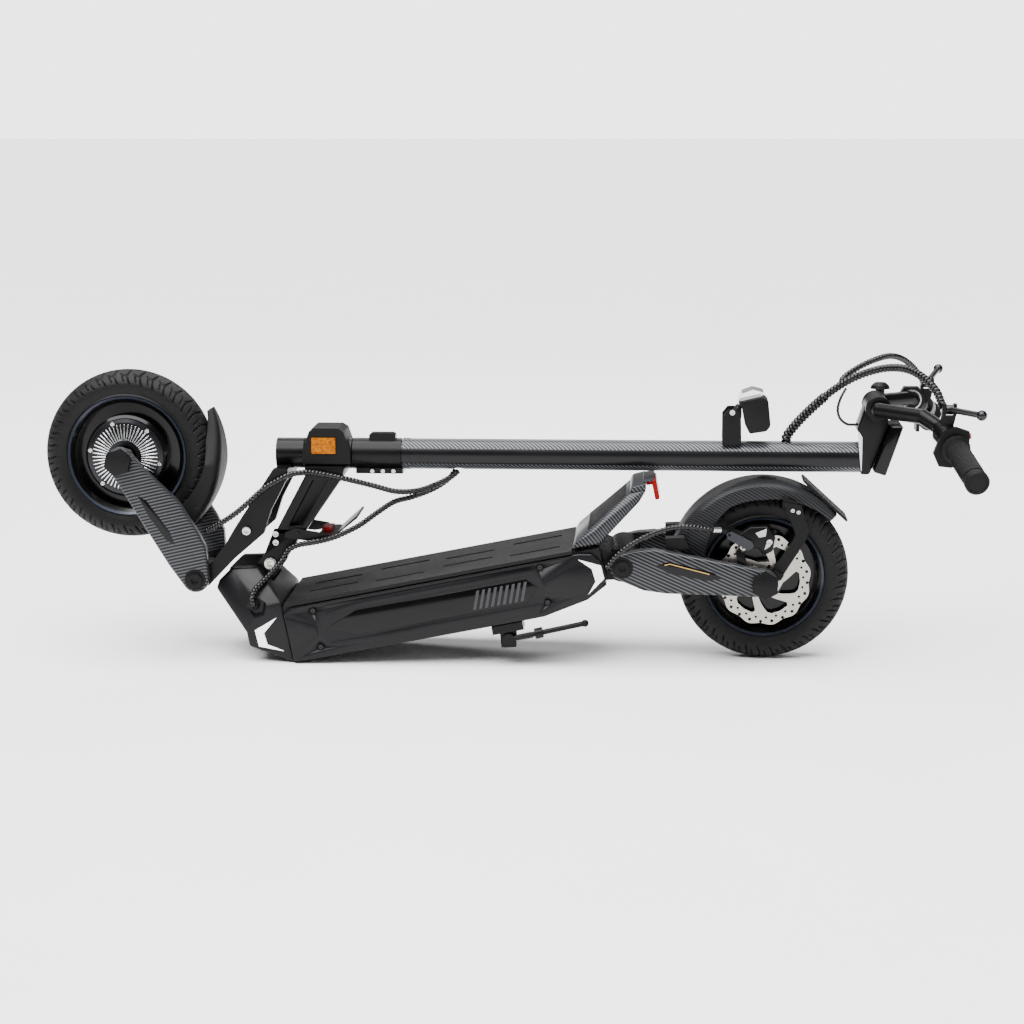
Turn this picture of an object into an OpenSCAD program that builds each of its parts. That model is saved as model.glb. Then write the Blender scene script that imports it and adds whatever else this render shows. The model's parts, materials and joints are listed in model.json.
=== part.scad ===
// Folding electric kick scooter, drawn folded: the stem lies over the deck, the scooter stands on its
// rear tyre and the front edge of the deck. +X points to the rear, +Y to the rider's right, +Z up.
// Deck pieces are drawn in the deck frame (origin on the rear axle), steering pieces in the stem frame
// (origin on the link bolt of the neck, +X up the stem, +Z towards the front when it is ridden).

/* [Frame] */
// Fold hinge ahead of the rear axle
hinge_back = 773; // [765:1:778]
// Fold hinge above the axle line
hinge_up = 117; // [112:1:120]
// Link bolt of the neck from the fold hinge, along the stem
link_x = 39; // [36:1:41]
// Link bolt of the neck from the fold hinge, across the stem
link_z = 52; // [49:1:54]
// Steering axis from the link bolt
stem_offset = 163; // [160:1:168]
// Slope of the steering axis when ridden
head_angle = 75; // [74:0.5:76]
// Travel of the fold hinge
fold_angle = 86.3; // [86:0.1:86.6]

/* [Wheels] */
// Outside radius of the tyres
tyre_r = 128; // [126:0.5:129]
// Width of the tyres
tyre_w = 62; // [54:1:66]
// Radius of the rim where the tyre sits
rim_r = 86; // [80:1:92]
// Radius of the wheel axles
axle_r = 6; // [5:0.5:8]
// Radius of the hub motor drum
drum_r = 62; // [58:1:66]
// Radius of the brake disc
disc_r = 70; // [66:1:72]

/* [Deck] */
// Length of the deck housing
deck_len = 482; // [470:1:490]
// Width over the side covers
deck_w = 192; // [184:1:204]
// Height of the deck housing
deck_h = 87; // [80:1:90]
// Wall of the deck housing
deck_wall = 3; // [2:0.5:5]
// Thickness of the foot mat
mat_t = 5; // [3:0.5:7]
// Thickness of the side covers
cover_t = 10; // [8:0.5:12]

/* [Suspension] */
// Rear swing arm pivot ahead of the axle
rear_pivot_x = 202; // [196:1:206]
// Rear swing arm pivot above the axle
rear_pivot_z = 64; // [60:1:66]
// Front swing arm pivot behind the hinge line, along the stem
front_pivot_x = 107; // [105:1:109]
// Front swing arm pivot below the hinge line
front_pivot_z = 17; // [14:1:19]
// Inner face of the swing arms
arm_in = 66; // [66:0.5:68]
// Thickness of the swing arms
arm_t = 20; // [16:1:22]
// Radius of the swing arm pivot shafts
pivot_r = 8; // [6:0.5:9]

/* [Stem] */
// Outside radius of the stem tube
stem_r = 23; // [21:0.5:24]
// Wall of the stem tube
stem_wall = 3; // [2:0.5:4]
// Length of the stem tube
stem_len = 673; // [640:1:700]
// Radius of the steerer tube inside the head tube
steerer_r = 14; // [12:0.5:15]

/* [Handlebar] */
// Radius of the handlebar tube
bar_r = 11.1; // [10:0.1:12.7]
// Half width of the handlebar
bar_half = 300; // [260:5:340]
// Radius of the grips
grip_r = 16.5; // [15:0.5:19]
// Length of the grips
grip_len = 124; // [100:1:128]

/* [Fits] */
// Radial clearance of shafts in bearings and bores
run_gap = 0.05; // [0.02:0.01:0.09]
// Side clearance between moving faces
side_gap = 0.5; // [0.4:0.1:1]
// Clearance between pieces that are pressed or slid together
seat_gap = 0.05; // [0.02:0.01:0.1]

/* [Hidden] */
$fn = 64;

// deck, in the deck frame
deck_z = 13;
deck_top = deck_z + deck_h;
deck_x = -712;
deck_end = deck_x + deck_len;
side_y = deck_w / 2;
tray_y = side_y - cover_t;
mat_top = deck_top + mat_t;
cover_top = deck_top - 2;
// the deck leans so that its front bottom edge and the rear tyre share the floor
lean_arm = norm([deck_x, deck_z]);
tilt = 180 + asin(tyre_r / lean_arm) - (180 - atan(deck_z / -deck_x));
// the front axle sits as high as the rear one when the scooter is ridden
front_axle_z = stem_offset - 2;
front_axle_x = -(hinge_up + (front_axle_z + link_z) * cos(head_angle)) / sin(head_angle) - link_x;
// the whole folded scooter is centred over the origin
hinge_place = -hinge_back * cos(tilt) - hinge_up * sin(tilt) + link_x;
centre_x = hinge_place + (front_axle_x - tyre_r + 1036) / 2;

hinge_r = 6;
plate_y = 32;
plate_t = 8;
neck_y = plate_y + plate_t;
nose_y = 56;
shaft_y = arm_in + arm_t;
hub_y = 34;
disc_y = -48;
disc_t = 2;
leg_y = 50;
leg_t = 14;
head_x = 50;
head_end = 123;
crown_x = 8;
sleeve_end = 197;
collar_x = 210;
stem_end = collar_x + stem_len;
clamp_x = 906;
clamp_z = stem_offset + 77;
clamp_r = 19;
clamp_y = 36;
fender_t = 2.5;
spin_r = 14;
loom_r = 8;

// right half of the handlebar, from the clamp to the end
bar_pts = [[clamp_x, 0, clamp_z], [clamp_x, clamp_y + 12, clamp_z], [964, 100, clamp_z - 1.5],
  [984, 122, clamp_z - 13], [1001, 170, clamp_z - 33], [1018, bar_half, clamp_z - 64]];
grip_dir = (bar_pts[5] - bar_pts[4]) / norm(bar_pts[5] - bar_pts[4]);
grip_start = bar_pts[5] - grip_dir * grip_len;
lever_pivot = [996, 148, clamp_z + 16];
lever_tip = [1026, 262, clamp_z + 24];
eye_w = 10;
perch_w = 20;
pin_r = 2.5;
lever_dir = (lever_tip - lever_pivot) / norm(lever_tip - lever_pivot);
pod_top = 1022;
button_r = 4.2;
button_y = -168.3;
horn_z = 221;
light_z = 199;
headlight_x = 692;
headlight_z = stem_offset + 57;
lever_x = 43;
lever_z = 40;
stand_x = -388;
stand_z = -10;
stand_y = 92;
cam_x = -12;
cam_z = 58;

// cable routes
wheel_route = [[-92, 58, 52], [-80, 66, 60], [-64, 74, 70], [-44, 77, 84], [-24, 77, 101], [-4, 75, 119],
  [16, 73, 131], [36, 71, 141], [52, 64, 143], [66, 55, 142], [84, 48, 138], [108, 46, 133],
  [132, 38, 126], [158, 30, 118],
  [190, 24, 109], [222, 20, 110], [252, 16, 120], [272, 12, 130], [282, 6, 138]];
deck_route = [[-18.9, 88, -55.2], [-21, 88.5, -44], [-18, 84.5, -33], [-8, 77, -22], [6, 67, -8],
  [20, 58, 8], [28, 54, 22], [44, 54, 31],
  [70, 54, 36], [94, 54, 42], [116, 52, 51], [138, 46, 62], [162, 32, 78], [186, 18, 92], [212, 8, 98],
  [240, 4, 108],
  [264, 0, 122], [278, -4, 138]];
loom_route = [[774, 0, 178], [774, 0, 192], [782, -1, 205], [796, -4, 222], [816, -9, 243], [840, -16, 265],
  [866, -24, 283], [894, -34, 296], [920, -48, 303], [944, -68, 303], [964, -92, 294], [980, -114, 278],
  [987, -127, 261], [988, -135.6, 259]];
thin_route = [[858, -29, 270], [850, -36, 256], [846, -38, 240], [850, -36, 226], [860, -28, 217],
  [869, -22, 215],
  [877.6, -18, 215]];
right_route = [[853, -12.1, 277.6], [856, -3, 281.6], [868, 6, 290], [888, 12, 301], [908, 22, 308],
  [926, 40, 310],
  [942, 60, 306], [957, 81, 297], [971, 101, 284], [983, 118, 268], [988, 129, 260], [989, 137.5, 259]];
brake_route = [[-225, -91, 69], [-218, -91.5, 75], [-206, -93, 85], [-188, -94, 95], [-166, -92, 103],
  [-142, -88, 108], [-118, -83, 109], [-96, -77, 105], [-78, -71, 98], [-64, -66, 92.5]];

// piece helpers

// Extrudes an outline drawn in XZ from y0 to y1
module slab(y0, y1) translate([0, y1, 0]) rotate([90, 0, 0]) linear_extrude(y1 - y0) children();

// Round bar along Y
module bar_y(r, y0, y1, x = 0, z = 0) translate([x, y1, z]) rotate([90, 0, 0]) cylinder(r = r, h = y1 - y0);

// Round bar along X
module bar_x(r, x0, x1, z = 0, y = 0) translate([x0, y, z]) rotate([0, 90, 0]) cylinder(r = r, h = x1 - x0);

// Round bar between two points
module rod(p, q, r) {
  v = q - p;
  translate(p) rotate([0, acos(v[2] / norm(v)), atan2(v[1], v[0])]) cylinder(r = r, h = norm(v));
}

module both_sides() {
  children();
  mirror([0, 1, 0]) children();
}

// Turned body about Y from a profile of [radius, y] points
module turned(pts) rotate([-90, 0, 0]) rotate_extrude($fn = 96) polygon(pts);

module in_deck() translate([-centre_x, 0, tyre_r]) rotate([0, -tilt, 0]) children();

module in_stem() in_deck() translate([-hinge_back, 0, hinge_up]) rotate([0, fold_angle - head_angle, 0])
  translate([link_x, 0, link_z]) children();

module at_front_axle() in_stem() translate([front_axle_x, 0, front_axle_z]) children();

// Tube swept along route points, mirrored to the left side when s is -1
module cable(pts, r, s = 1, sides = 8) {
  n = len(pts);
  tan_at = [for (i = [0:n - 1]) let (v = pts[min(i + 1, n - 1)] - pts[max(i - 1, 0)]) v / norm(v)];
  up = [0.13, 0.91, 0.39];
  rings = [for (i = [0:n - 1]) let (a = cross(tan_at[i], up), u = a / norm(a), w = cross(tan_at[i], u))
    for (k = [0:sides - 1]) pts[i] + r * (cos(k * 360 / sides) * u + sin(k * 360 / sides) * w)];
  skin = [for (i = [0:n - 2]) for (k = [0:sides - 1]) let (j = (k + 1) % sides)
    each [[i * sides + k, i * sides + j, (i + 1) * sides + j],
      [i * sides + k, (i + 1) * sides + j, (i + 1) * sides + k]]];
  caps = [[for (k = [sides - 1:-1:0]) k], [for (k = [0:sides - 1]) (n - 1) * sides + k]];
  scale([1, s, 1]) polyhedron(rings, concat(skin, caps));
}

// Deck

module tray_outline() polygon([[deck_x, deck_z], [-330, deck_z], [-262, deck_z + 13],
  [deck_end, deck_z + 30],
  [deck_end, deck_top], [deck_x, deck_top]]);

module deck_tray() color([0.07, 0.07, 0.075]) in_deck() {
  difference() {
    slab(-tray_y, tray_y) tray_outline();
    translate([deck_x - 1, -tray_y + deck_wall, deck_z + deck_wall])
      cube([deck_len - 100, 2 * (tray_y - deck_wall), deck_h - 2 * deck_wall]);
    bar_y(25.5, -tray_y - 1, tray_y + 1, -rear_pivot_x, rear_pivot_z);
  }
  difference() {
    union() {
      bar_y(25.4, -arm_in + side_gap, arm_in - side_gap, -rear_pivot_x, rear_pivot_z);
      slab(-arm_in + side_gap, arm_in - side_gap) polygon([[deck_end - 6, deck_z + 34],
        [-214, rear_pivot_z - 20],
        [-214, rear_pivot_z + 20], [deck_end - 6, deck_top]]);
    }
    bar_y(pivot_r + run_gap, -arm_in, arm_in, -rear_pivot_x, rear_pivot_z);
  }
}

module deck_mat() color([0.05, 0.05, 0.05]) in_deck() difference() {
  translate([deck_x + 4, -side_y, deck_top]) cube([438, deck_w, mat_t]);
  for (i = [0:3]) for (s = [-1, 1])
    translate([deck_x + 34 + 104 * i, s * (28 + 16 * (i % 2)) - 4, mat_top - 1.5]) cube([76, 8, 2]);
}

module battery_pack() color([0.12, 0.2, 0.45]) in_deck()
  translate([deck_x + 96, -tray_y + 8, deck_z + deck_wall])
  cube([260, 2 * (tray_y - 8), 70]);

module controller() color([0.6, 0.6, 0.62]) in_deck() translate([deck_x + 10, -58, deck_z + deck_wall]) {
  cube([76, 116, 30]);
  for (i = [0:8]) translate([0, 4 + 13 * i, 30]) cube([76, 4, 12]);
}

// Space that the neck sweeps between the two cheeks of the casting
module neck_sweep() translate([-hinge_back, hinge_up]) {
  circle(r = 20);
  polygon([[13, -15], [90, 54], [90, 110], [-90, 110], [-78, 68], [-16, -12]]);
}

module front_casting() color([0.1, 0.1, 0.11]) in_deck() difference() {
  union() {
    hull() {
      slab(-nose_y, nose_y) polygon([[-811, 141], [-804, 152], [-781, 167], [-742, 161], [-782, 102]]);
      slab(-88, 88) polygon([[-774, 72], [-742, 104], [deck_x, 106], [deck_x, 60], [-760, 60]]);
    }
    hull() slab(-88, 88) polygon([[-774, 50], [-774, 74], [-742, 104], [deck_x, 106], [deck_x, deck_z],
      [-736, 28]]);
  }
  slab(-neck_y - side_gap, neck_y + side_gap) neck_sweep();
  bar_y(hinge_r + run_gap, -90, 90, -hinge_back, hinge_up);
}

module cover_outline() polygon([[deck_x, 16], [-690, deck_z + 1], [-340, deck_z + 1], [-262, 28],
  [-248, 34],
  [-228, 52], [-228, 74], [-242, cover_top - 4], [-262, cover_top], [-700, cover_top], [deck_x, 90]]);

module front_plate() polygon([[-710, 84], [-667, 63], [-667, 50], [-710, 34]]);

module rear_plate() polygon([[-321, 64], [-268, 85], [-250, 72], [-248, 54], [-266, 38], [-321, 51]]);

module side_covers() color([0.09, 0.09, 0.1]) in_deck() both_sides() difference() {
  union() {
    slab(tray_y + seat_gap, side_y - 2) cover_outline();
    slab(side_y - 2, side_y) front_plate();
    slab(side_y - 2, side_y) rear_plate();
    slab(side_y - 2, side_y) polygon([[-650, 78], [-600, 88], [-330, 88], [-330, 82], [-560, 82]]);
    slab(side_y - 2, side_y) polygon([[-650, 34], [-600, 24], [-360, 24], [-330, 34], [-560, 34]]);
  }
  for (p = [[-667, 87], [-667, 31], [-321, 89], [-320, 35]])
    bar_y(3.6, side_y - 6, side_y + 1, p[0], p[1]);
}

module corner_reflectors() color([0.92, 0.92, 0.92]) in_deck() both_sides() {
  slab(88 + seat_gap, 91) polygon([[-760, 73], [-724, 86], [-748, 66], [-746, 48], [-724, 34], [-759, 48]]);
  slab(side_y - 2 + seat_gap, side_y) polygon([[-263, 90], [-232, 75], [-231, 55], [-258, 36],
    [-244, 53], [-246, 73]]);
}

module side_screws() color([0.04, 0.04, 0.04]) in_deck() both_sides()
  for (p = [[-667, 87], [-667, 31], [-321, 89], [-320, 35]]) difference() {
    bar_y(3.5, side_y - 6 + seat_gap, side_y - 1, p[0], p[1]);
    translate([p[0], side_y, p[1]]) rotate([90, 0, 0]) cylinder(r = 1.7, h = 3, $fn = 6);
  }

module kickplate() color([0.08, 0.08, 0.085]) in_deck() {
  difference() {
    hull() {
      slab(-84, 84) polygon([[-270, mat_top + 0.2], [-262, mat_top + 9], [-232, 126],
        [-228, mat_top + 0.2]]);
      slab(-62, 62) polygon([[-172, 168], [-146, 168], [-160, 152]]);
    }
    hull() {
      slab(-58, 58) polygon([[-232, 100], [-226, 118], [-206, 100]]);
      slab(-50, 50) polygon([[-168, 150], [-162, 158], [-140, 140]]);
    }
  }
  slab(-62, 62) polygon([[-172, 168 + seat_gap], [-166, 176], [-146, 177], [-146, 168 + seat_gap]]);
}

module tail_light() color([0.8, 0.04, 0.03]) in_deck() slab(-34, 34)
  polygon([[-146 + seat_gap, 170], [-146 + seat_gap, 176], [-130, 176], [-130, 146], [-137, 146],
    [-137, 170]]);

module kickstand_mount() color([0.05, 0.05, 0.05]) in_deck() {
  translate([-410, -stand_y - 2, 1]) cube([47, 34, 12 - seat_gap]);
  slab(-stand_y + 6.5, -stand_y + 11.5)
    polygon([[-400, 1 + seat_gap], [-402, -22], [-380, -25], [-374, 1 + seat_gap]]);
  bar_y(5, -stand_y - 4, -stand_y + 7, stand_x, stand_z);
}

module kickstand() color([0.06, 0.06, 0.06]) in_deck() {
  difference() {
    bar_y(9, -stand_y - 4, -stand_y + 6, stand_x, stand_z);
    bar_y(5 + run_gap, -stand_y - 5, -stand_y + 7, stand_x, stand_z);
  }
  rod([stand_x + 8, -stand_y + 1, stand_z], [stand_x + 116, -stand_y + 1, stand_z + 3], 4);
  rod([stand_x + 40, -stand_y + 1, stand_z + 1], [stand_x + 52, -stand_y + 1, stand_z + 1.4], 8);
  translate([stand_x + 116, -stand_y + 1, stand_z + 3]) sphere(r = 5.5);
}

// Rear end

module rear_arm_outline() {
  translate([-rear_pivot_x, rear_pivot_z]) circle(r = 20);
  circle(r = 20);
  polygon([[-196, 83], [-176, 86], [-150, 83], [-6, 20], [14, -14], [-4, -20], [-146, 14], [-178, 24],
    [-215, 49]]);
}

module rear_arms() color([0.3, 0.3, 0.31]) in_deck() {
  both_sides() difference() {
    slab(arm_in, shaft_y) rear_arm_outline();
    bar_y(axle_r + seat_gap, arm_in - 1, shaft_y + 1);
    bar_y(pivot_r + seat_gap, arm_in - 1, shaft_y + 1, -rear_pivot_x, rear_pivot_z);
    slab(shaft_y - 2, shaft_y + 1) polygon([[-152, 60], [-136, 62], [-72, 30], [-66, 20], [-84, 22],
      [-140, 46]]);
  }
  bar_y(pivot_r, -shaft_y, shaft_y, -rear_pivot_x, rear_pivot_z);
}

module rear_caps() color([0.04, 0.04, 0.045]) in_deck() both_sides() {
  bar_y(11.5, shaft_y + seat_gap, shaft_y + 5, -rear_pivot_x, rear_pivot_z);
  difference() {
    translate([0, shaft_y + seat_gap + 12, 0]) rotate([90, 0, 0]) cylinder(r = 20, h = 12, $fn = 12);
    bar_y(axle_r + 7.5, shaft_y, shaft_y + 9.5);
  }
}

// Fixed axle with its stator, nuts and two bearings
module fixed_axle() {
  bar_y(axle_r, -shaft_y - 8, shaft_y + 8);
  both_sides() difference() {
    translate([0, shaft_y + seat_gap + 6.5, 0]) rotate([90, 0, 0])
      cylinder(r = axle_r + 5, h = 6.5, $fn = 6);
    bar_y(axle_r + seat_gap, shaft_y - 1, shaft_y + 9);
  }
  difference() {
    union() {
      bar_y(44, -14, 14);
      bar_y(11, -20, 20);
    }
    bar_y(axle_r + seat_gap, -21, 21);
    for (i = [0:11]) rotate([0, 30 * i, 0]) translate([34, -15, -2.5]) cube([12, 30, 5]);
  }
  both_sides() difference() {
    bar_y(16, 22, 31);
    bar_y(axle_r + seat_gap, 21, 32);
  }
}

module rear_axle() color([0.7, 0.7, 0.7]) in_deck() fixed_axle();

// Mudguard shell about the axle between two angles
module guard(r, half_w, skirt, a0, a1) rotate([90, 0, 0]) rotate([0, 0, a0])
  rotate_extrude(angle = a1 - a0, $fn = 120) both_flanks() polygon([[r, 0], [r, half_w * 0.6],
    [r - 10, half_w],
    [r - skirt, half_w], [r - skirt, half_w - fender_t], [r - 10 - fender_t / 2, half_w - fender_t],
    [r - fender_t, half_w * 0.6 - 1], [r - fender_t, 0]]);

module both_flanks() {
  children();
  mirror([0, 1]) children();
}

module rear_fender() color([0.13, 0.13, 0.135]) in_deck() {
  translate([-2, 0, 0]) guard(146, 46, 22, 33, 146);
  slab(-4, 4) polygon([[-20, 146], [20, 147.5], [46, 142], [46, 138.4], [20, 144.6], [-20, 144.8]]);
}

module rear_fender_stays() color([0.05, 0.05, 0.055]) in_deck() {
  both_sides() {
    slab(46 + seat_gap, 56) polygon([[50, 118], [70, 106], [66, 96], [46, 104]]);
    slab(56, 59) polygon([[48, 112], [74, 102], [78, 62], [72, 50], [24, -2], [10, 10], [58, 58],
      [54, 84]]);
    slab(59, arm_in - seat_gap) polygon([[12, -2], [24, -2], [30, 4], [18, 16], [10, 10]]);
    slab(46 + seat_gap, arm_in - seat_gap) polygon([[-132, 92], [-104, 88], [-100, 70], [-134, 74]]);
  }
  slab(-30, 30) polygon([[83.6, 130.7], [86.4, 132.7], [138.4, 61.7], [135.6, 59.7]]);
}

module brake_caliper() color([0.09, 0.09, 0.1]) in_deck() difference() {
  union() {
    slab(disc_y - 12, disc_y + 11) polygon([[-30, 52], [-24, 76], [-6, 84], [20, 80], [28, 62],
      [20, 42], [6, 38],
      [0, 50], [-18, 54]]);
    slab(-arm_in + seat_gap, disc_y - 6) polygon([[-34, 25], [-20, 20], [-22, 48], [-34, 52]]);
    slab(disc_y - 12, disc_y - 6) polygon([[-33, 44], [-21, 40], [-18, 58], [-29, 58]]);
    slab(disc_y - 11, disc_y - 7) polygon([[-20, 68], [-18, 80], [-52, 97], [-60, 90]]);
    rod([-61, -64, 91.4], [-50, -59, 88], 5);
  }
  bar_y(disc_r + 3, disc_y - 2.2, disc_y + disc_t + 2.2);
  bar_y(6 + run_gap, disc_y - 13, disc_y - 6, cam_x, cam_z);
}

module caliper_arm() color([0.55, 0.56, 0.58]) in_deck() difference() {
  union() {
    bar_y(6, disc_y - 17, disc_y - 6.3, cam_x, cam_z);
    slab(disc_y - 17, disc_y - 12.5) polygon([[cam_x - 4, cam_z - 7], [cam_x + 6, cam_z - 3],
      [cam_x + 5, cam_z + 5],
      [-34, 84], [-42, 82], [-42, 74]]);
  }
  bar_y(2, disc_y - 18, disc_y - 12, -38, 79);
}

module brake_disc() color([0.75, 0.75, 0.76]) in_deck() difference() {
  union() {
    bar_y(disc_r - 2.5, disc_y, disc_y + disc_t);
    for (i = [0:11]) rotate([0, 30 * i, 0]) bar_y(9, disc_y, disc_y + disc_t, disc_r - 9, 0);
  }
  bar_y(15, disc_y - 1, disc_y + disc_t + 1);
  for (i = [0:5]) rotate([0, 60 * i, 0]) {
    bar_y(2.6, disc_y - 1, disc_y + disc_t + 1, 22, 0);
    rotate([0, 24, 0]) slab(disc_y - 1, disc_y + disc_t + 1) polygon([[29, -7], [46, -14], [50, 0],
      [46, 12], [31, 4]]);
  }
  for (i = [0:11]) rotate([0, 30 * i + 8, 0]) bar_y(2.4, disc_y - 1, disc_y + disc_t + 1, 60, 0);
}

// Wheels

module tyre_profile() {
  h = tyre_w / 2;
  crown = [for (a = [-75:15:75]) [tyre_r - h * 0.72 + h * 0.72 * cos(a), h * sin(a)]];
  polygon(concat([[rim_r + seat_gap, -h * 0.62], [rim_r + 8, -h * 0.9]], crown,
    [[rim_r + 8, h * 0.9], [rim_r + seat_gap, h * 0.62]]));
}

module tyre() rotate([-90, 0, 0]) rotate_extrude($fn = 96) tyre_profile();

// Motor drum and rim in one casting, hollow for the stator
module hub() {
  h = tyre_w / 2;
  difference() {
    turned([[spin_r - 2, -hub_y], [drum_r - 4, -hub_y], [drum_r, -hub_y + 4], [drum_r, -6], [rim_r - 6, -5],
      [rim_r - 6, -h + 8], [rim_r + 4, -h * 0.98], [rim_r + 5, -h * 0.9], [rim_r, -h * 0.62],
      [rim_r, h * 0.62],
      [rim_r + 5, h * 0.9], [rim_r + 4, h * 0.98], [rim_r - 6, h - 8], [rim_r - 6, 5], [drum_r, 6],
      [drum_r, hub_y - 4],
      [drum_r - 4, hub_y], [spin_r - 2, hub_y]]);
    bar_y(drum_r - 10, -21.5, 21.5);
    bar_y(16 + run_gap, -31.5, 31.5);
  }
}

module rear_tyre() color([0.05, 0.05, 0.05]) in_deck() tyre();

module rear_hub() color([0.08, 0.08, 0.08]) in_deck() {
  hub();
  difference() {
    bar_y(30, disc_y + disc_t + seat_gap, -hub_y);
    bar_y(spin_r - 2, disc_y, -hub_y + 1);
  }
  for (i = [0:5]) rotate([0, 60 * i, 0]) bar_y(2.5, disc_y - 2, disc_y + disc_t + 1, 22, 0);
}

module front_tyre() color([0.05, 0.05, 0.05]) at_front_axle() tyre();

module front_hub() color([0.08, 0.08, 0.08]) at_front_axle() hub();

module hub_cover() color([0.3, 0.3, 0.32]) at_front_axle() both_sides() {
  difference() {
    turned([[spin_r + 4, hub_y + seat_gap], [57, hub_y + seat_gap], [57, hub_y + 4], [52, hub_y + 6],
      [30, hub_y + 9],
      [spin_r + 4, hub_y + 9]]);
    for (i = [0:5]) rotate([0, 60 * i + 11, 0]) bar_y(3.2, hub_y, hub_y + 8, 53, 0);
  }
  for (i = [0:5]) rotate([0, 60 * i + 11, 0]) bar_y(3.2 - seat_gap, hub_y + seat_gap, hub_y + 8, 53, 0);
}

// Front end

module front_arm_outline() {
  dx = front_axle_x;
  dz = front_axle_z;
  translate([dx, dz]) circle(r = 20);
  translate([-front_pivot_x, -front_pivot_z]) circle(r = 20);
  polygon([[dx - 18, dz - 10], [-184, 66], [-147, 3], [-118, -34], [-88, -12], [-87, 16], [-100, 52],
    [-130, 100],
    [-180, 150], [dx + 6, dz + 18]]);
}

module front_arms() color([0.3, 0.3, 0.31]) in_stem() {
  both_sides() difference() {
    slab(arm_in, shaft_y) front_arm_outline();
    bar_y(axle_r + seat_gap, arm_in - 1, shaft_y + 1, front_axle_x, front_axle_z);
    bar_y(pivot_r + seat_gap, arm_in - 1, shaft_y + 1, -front_pivot_x, -front_pivot_z);
    slab(shaft_y - 2, shaft_y + 1) polygon([[-184, 104], [-174, 101], [-145, 58], [-138, 38],
      [-148, 42], [-170, 70]]);
  }
  bar_y(pivot_r, -shaft_y, shaft_y, -front_pivot_x, -front_pivot_z);
}

module front_caps() color([0.04, 0.04, 0.045]) in_stem() both_sides() {
  bar_y(11.5, shaft_y + seat_gap, shaft_y + 5, -front_pivot_x, -front_pivot_z);
  translate([front_axle_x, 0, front_axle_z]) difference() {
    translate([0, shaft_y + seat_gap + 12, 0]) rotate([90, 0, 0]) cylinder(r = 20, h = 12, $fn = 12);
    bar_y(axle_r + 7.5, shaft_y, shaft_y + 9.5);
  }
}

module front_axle() color([0.7, 0.7, 0.7]) at_front_axle() fixed_axle();

module front_fender() color([0.13, 0.13, 0.135]) at_front_axle() {
  guard(148, 46, 24, -58, 26);
  both_sides() slab(46 + seat_gap, arm_in - seat_gap) polygon([[58, -108], [84, -98], [100, -112],
    [76, -130]]);
}

// Folding neck

module neck_frame() color([0.05, 0.05, 0.055]) in_stem() difference() {
  union() {
    both_sides() slab(plate_y, neck_y) {
      circle(r = 16);
      polygon([[-10, 12], [6, 52], [46, 52], [40, 34], [15, -4]]);
      polygon([[-link_x - 13, -link_z + 12], [-12, 11], [13, -10], [-link_x + 13, -link_z - 12]]);
    }
    bar_y(18, -neck_y, neck_y, -link_x, -link_z);
    difference() {
      slab(-neck_y, neck_y) polygon([[6, 44], [54, 134], [112, 134], [50, 44]]);
      both_sides() slab(22, 60) polygon([[29, 58], [66, 128], [88, 128], [48, 58]]);
    }
    slab(-neck_y, neck_y) polygon([[54, 133], [54, 148], [112, 148], [112, 133]]);
    bar_x(stem_r + 0.5, head_x, head_end, stem_offset);
  }
  bar_x(steerer_r + 5, head_x - 1, head_end + 1, stem_offset);
  bar_y(hinge_r + run_gap, -60, 60, -link_x, -link_z);
  bar_y(hinge_r + seat_gap, -60, 60);
  bar_y(4 + run_gap, -60, 60, lever_x, lever_z + 6);
}

// Link bolt, neck screws and the two bearings of the head tube
module neck_pins() color([0.75, 0.75, 0.74]) in_stem() {
  bar_y(hinge_r, -neck_y - 4, neck_y + 4);
  both_sides() {
    difference() {
      bar_y(9, neck_y + seat_gap, neck_y + 5);
      bar_y(hinge_r + seat_gap, neck_y, neck_y + 6);
    }
    for (p = [[9, 46], [9, 33]]) bar_y(4, neck_y + seat_gap, neck_y + 3.5, p[0], p[1]);
  }
  for (x = [head_x, head_end - 12]) difference() {
    bar_x(steerer_r + 5 - seat_gap, x, x + 12, stem_offset);
    bar_x(steerer_r + run_gap, x - 1, x + 13, stem_offset);
  }
}

module hinge_pin() color([0.75, 0.75, 0.74]) in_stem()
  bar_y(hinge_r, -nose_y - 10, nose_y + 10, -link_x, -link_z);

module light_housing() color([0.05, 0.05, 0.055]) in_stem() difference() {
  slab(-32, 32) polygon([[head_x, 151], [head_x, 172], [60, 200], [66, 205], [104, 205], [112, 200],
    [head_end - 1, 172],
    [head_end - 1, 151]]);
  bar_x(stem_r + 0.5 + seat_gap, head_x - 1, head_end + 1, stem_offset);
  slab(-60, 60) polygon([[53, 130], [53, 148.2], [113, 148.2], [113, 130]]);
  both_sides() slab(30, 40) polygon([[63, 166], [101, 166], [101, 192], [63, 192]]);
}

module side_reflectors() color([1, 0.55, 0.03]) in_stem() both_sides()
  slab(30 + seat_gap, 34) polygon([[64, 167], [100, 167], [100, 191], [64, 191]]);

// Over-centre lever with two cheeks and a long tongue
module fold_lever() color([0.1, 0.1, 0.1]) in_stem() {
  y0 = neck_y + side_gap;
  difference() {
    union() {
      both_sides() slab(y0, y0 + 4) polygon([[lever_x - 20, lever_z + 8], [lever_x - 4, lever_z + 15],
        [lever_x + 12, lever_z + 12],
        [lever_x + 36, lever_z + 8], [lever_x + 36, lever_z], [lever_x + 14, lever_z - 4],
        [lever_x - 20, lever_z]]);
      slab(-y0 - 4, y0 + 4) polygon([[lever_x + 30, lever_z], [lever_x + 30, lever_z + 5],
        [lever_x + 56, lever_z + 5],
        [lever_x + 88, lever_z + 34], [lever_x + 90, lever_z + 31], [lever_x + 54, lever_z + 2]]);
    }
    bar_y(4 + seat_gap, -60, 60, lever_x, lever_z + 6);
  }
  bar_y(4, -y0 - 6, y0 + 6, lever_x, lever_z + 6);
}

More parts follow.
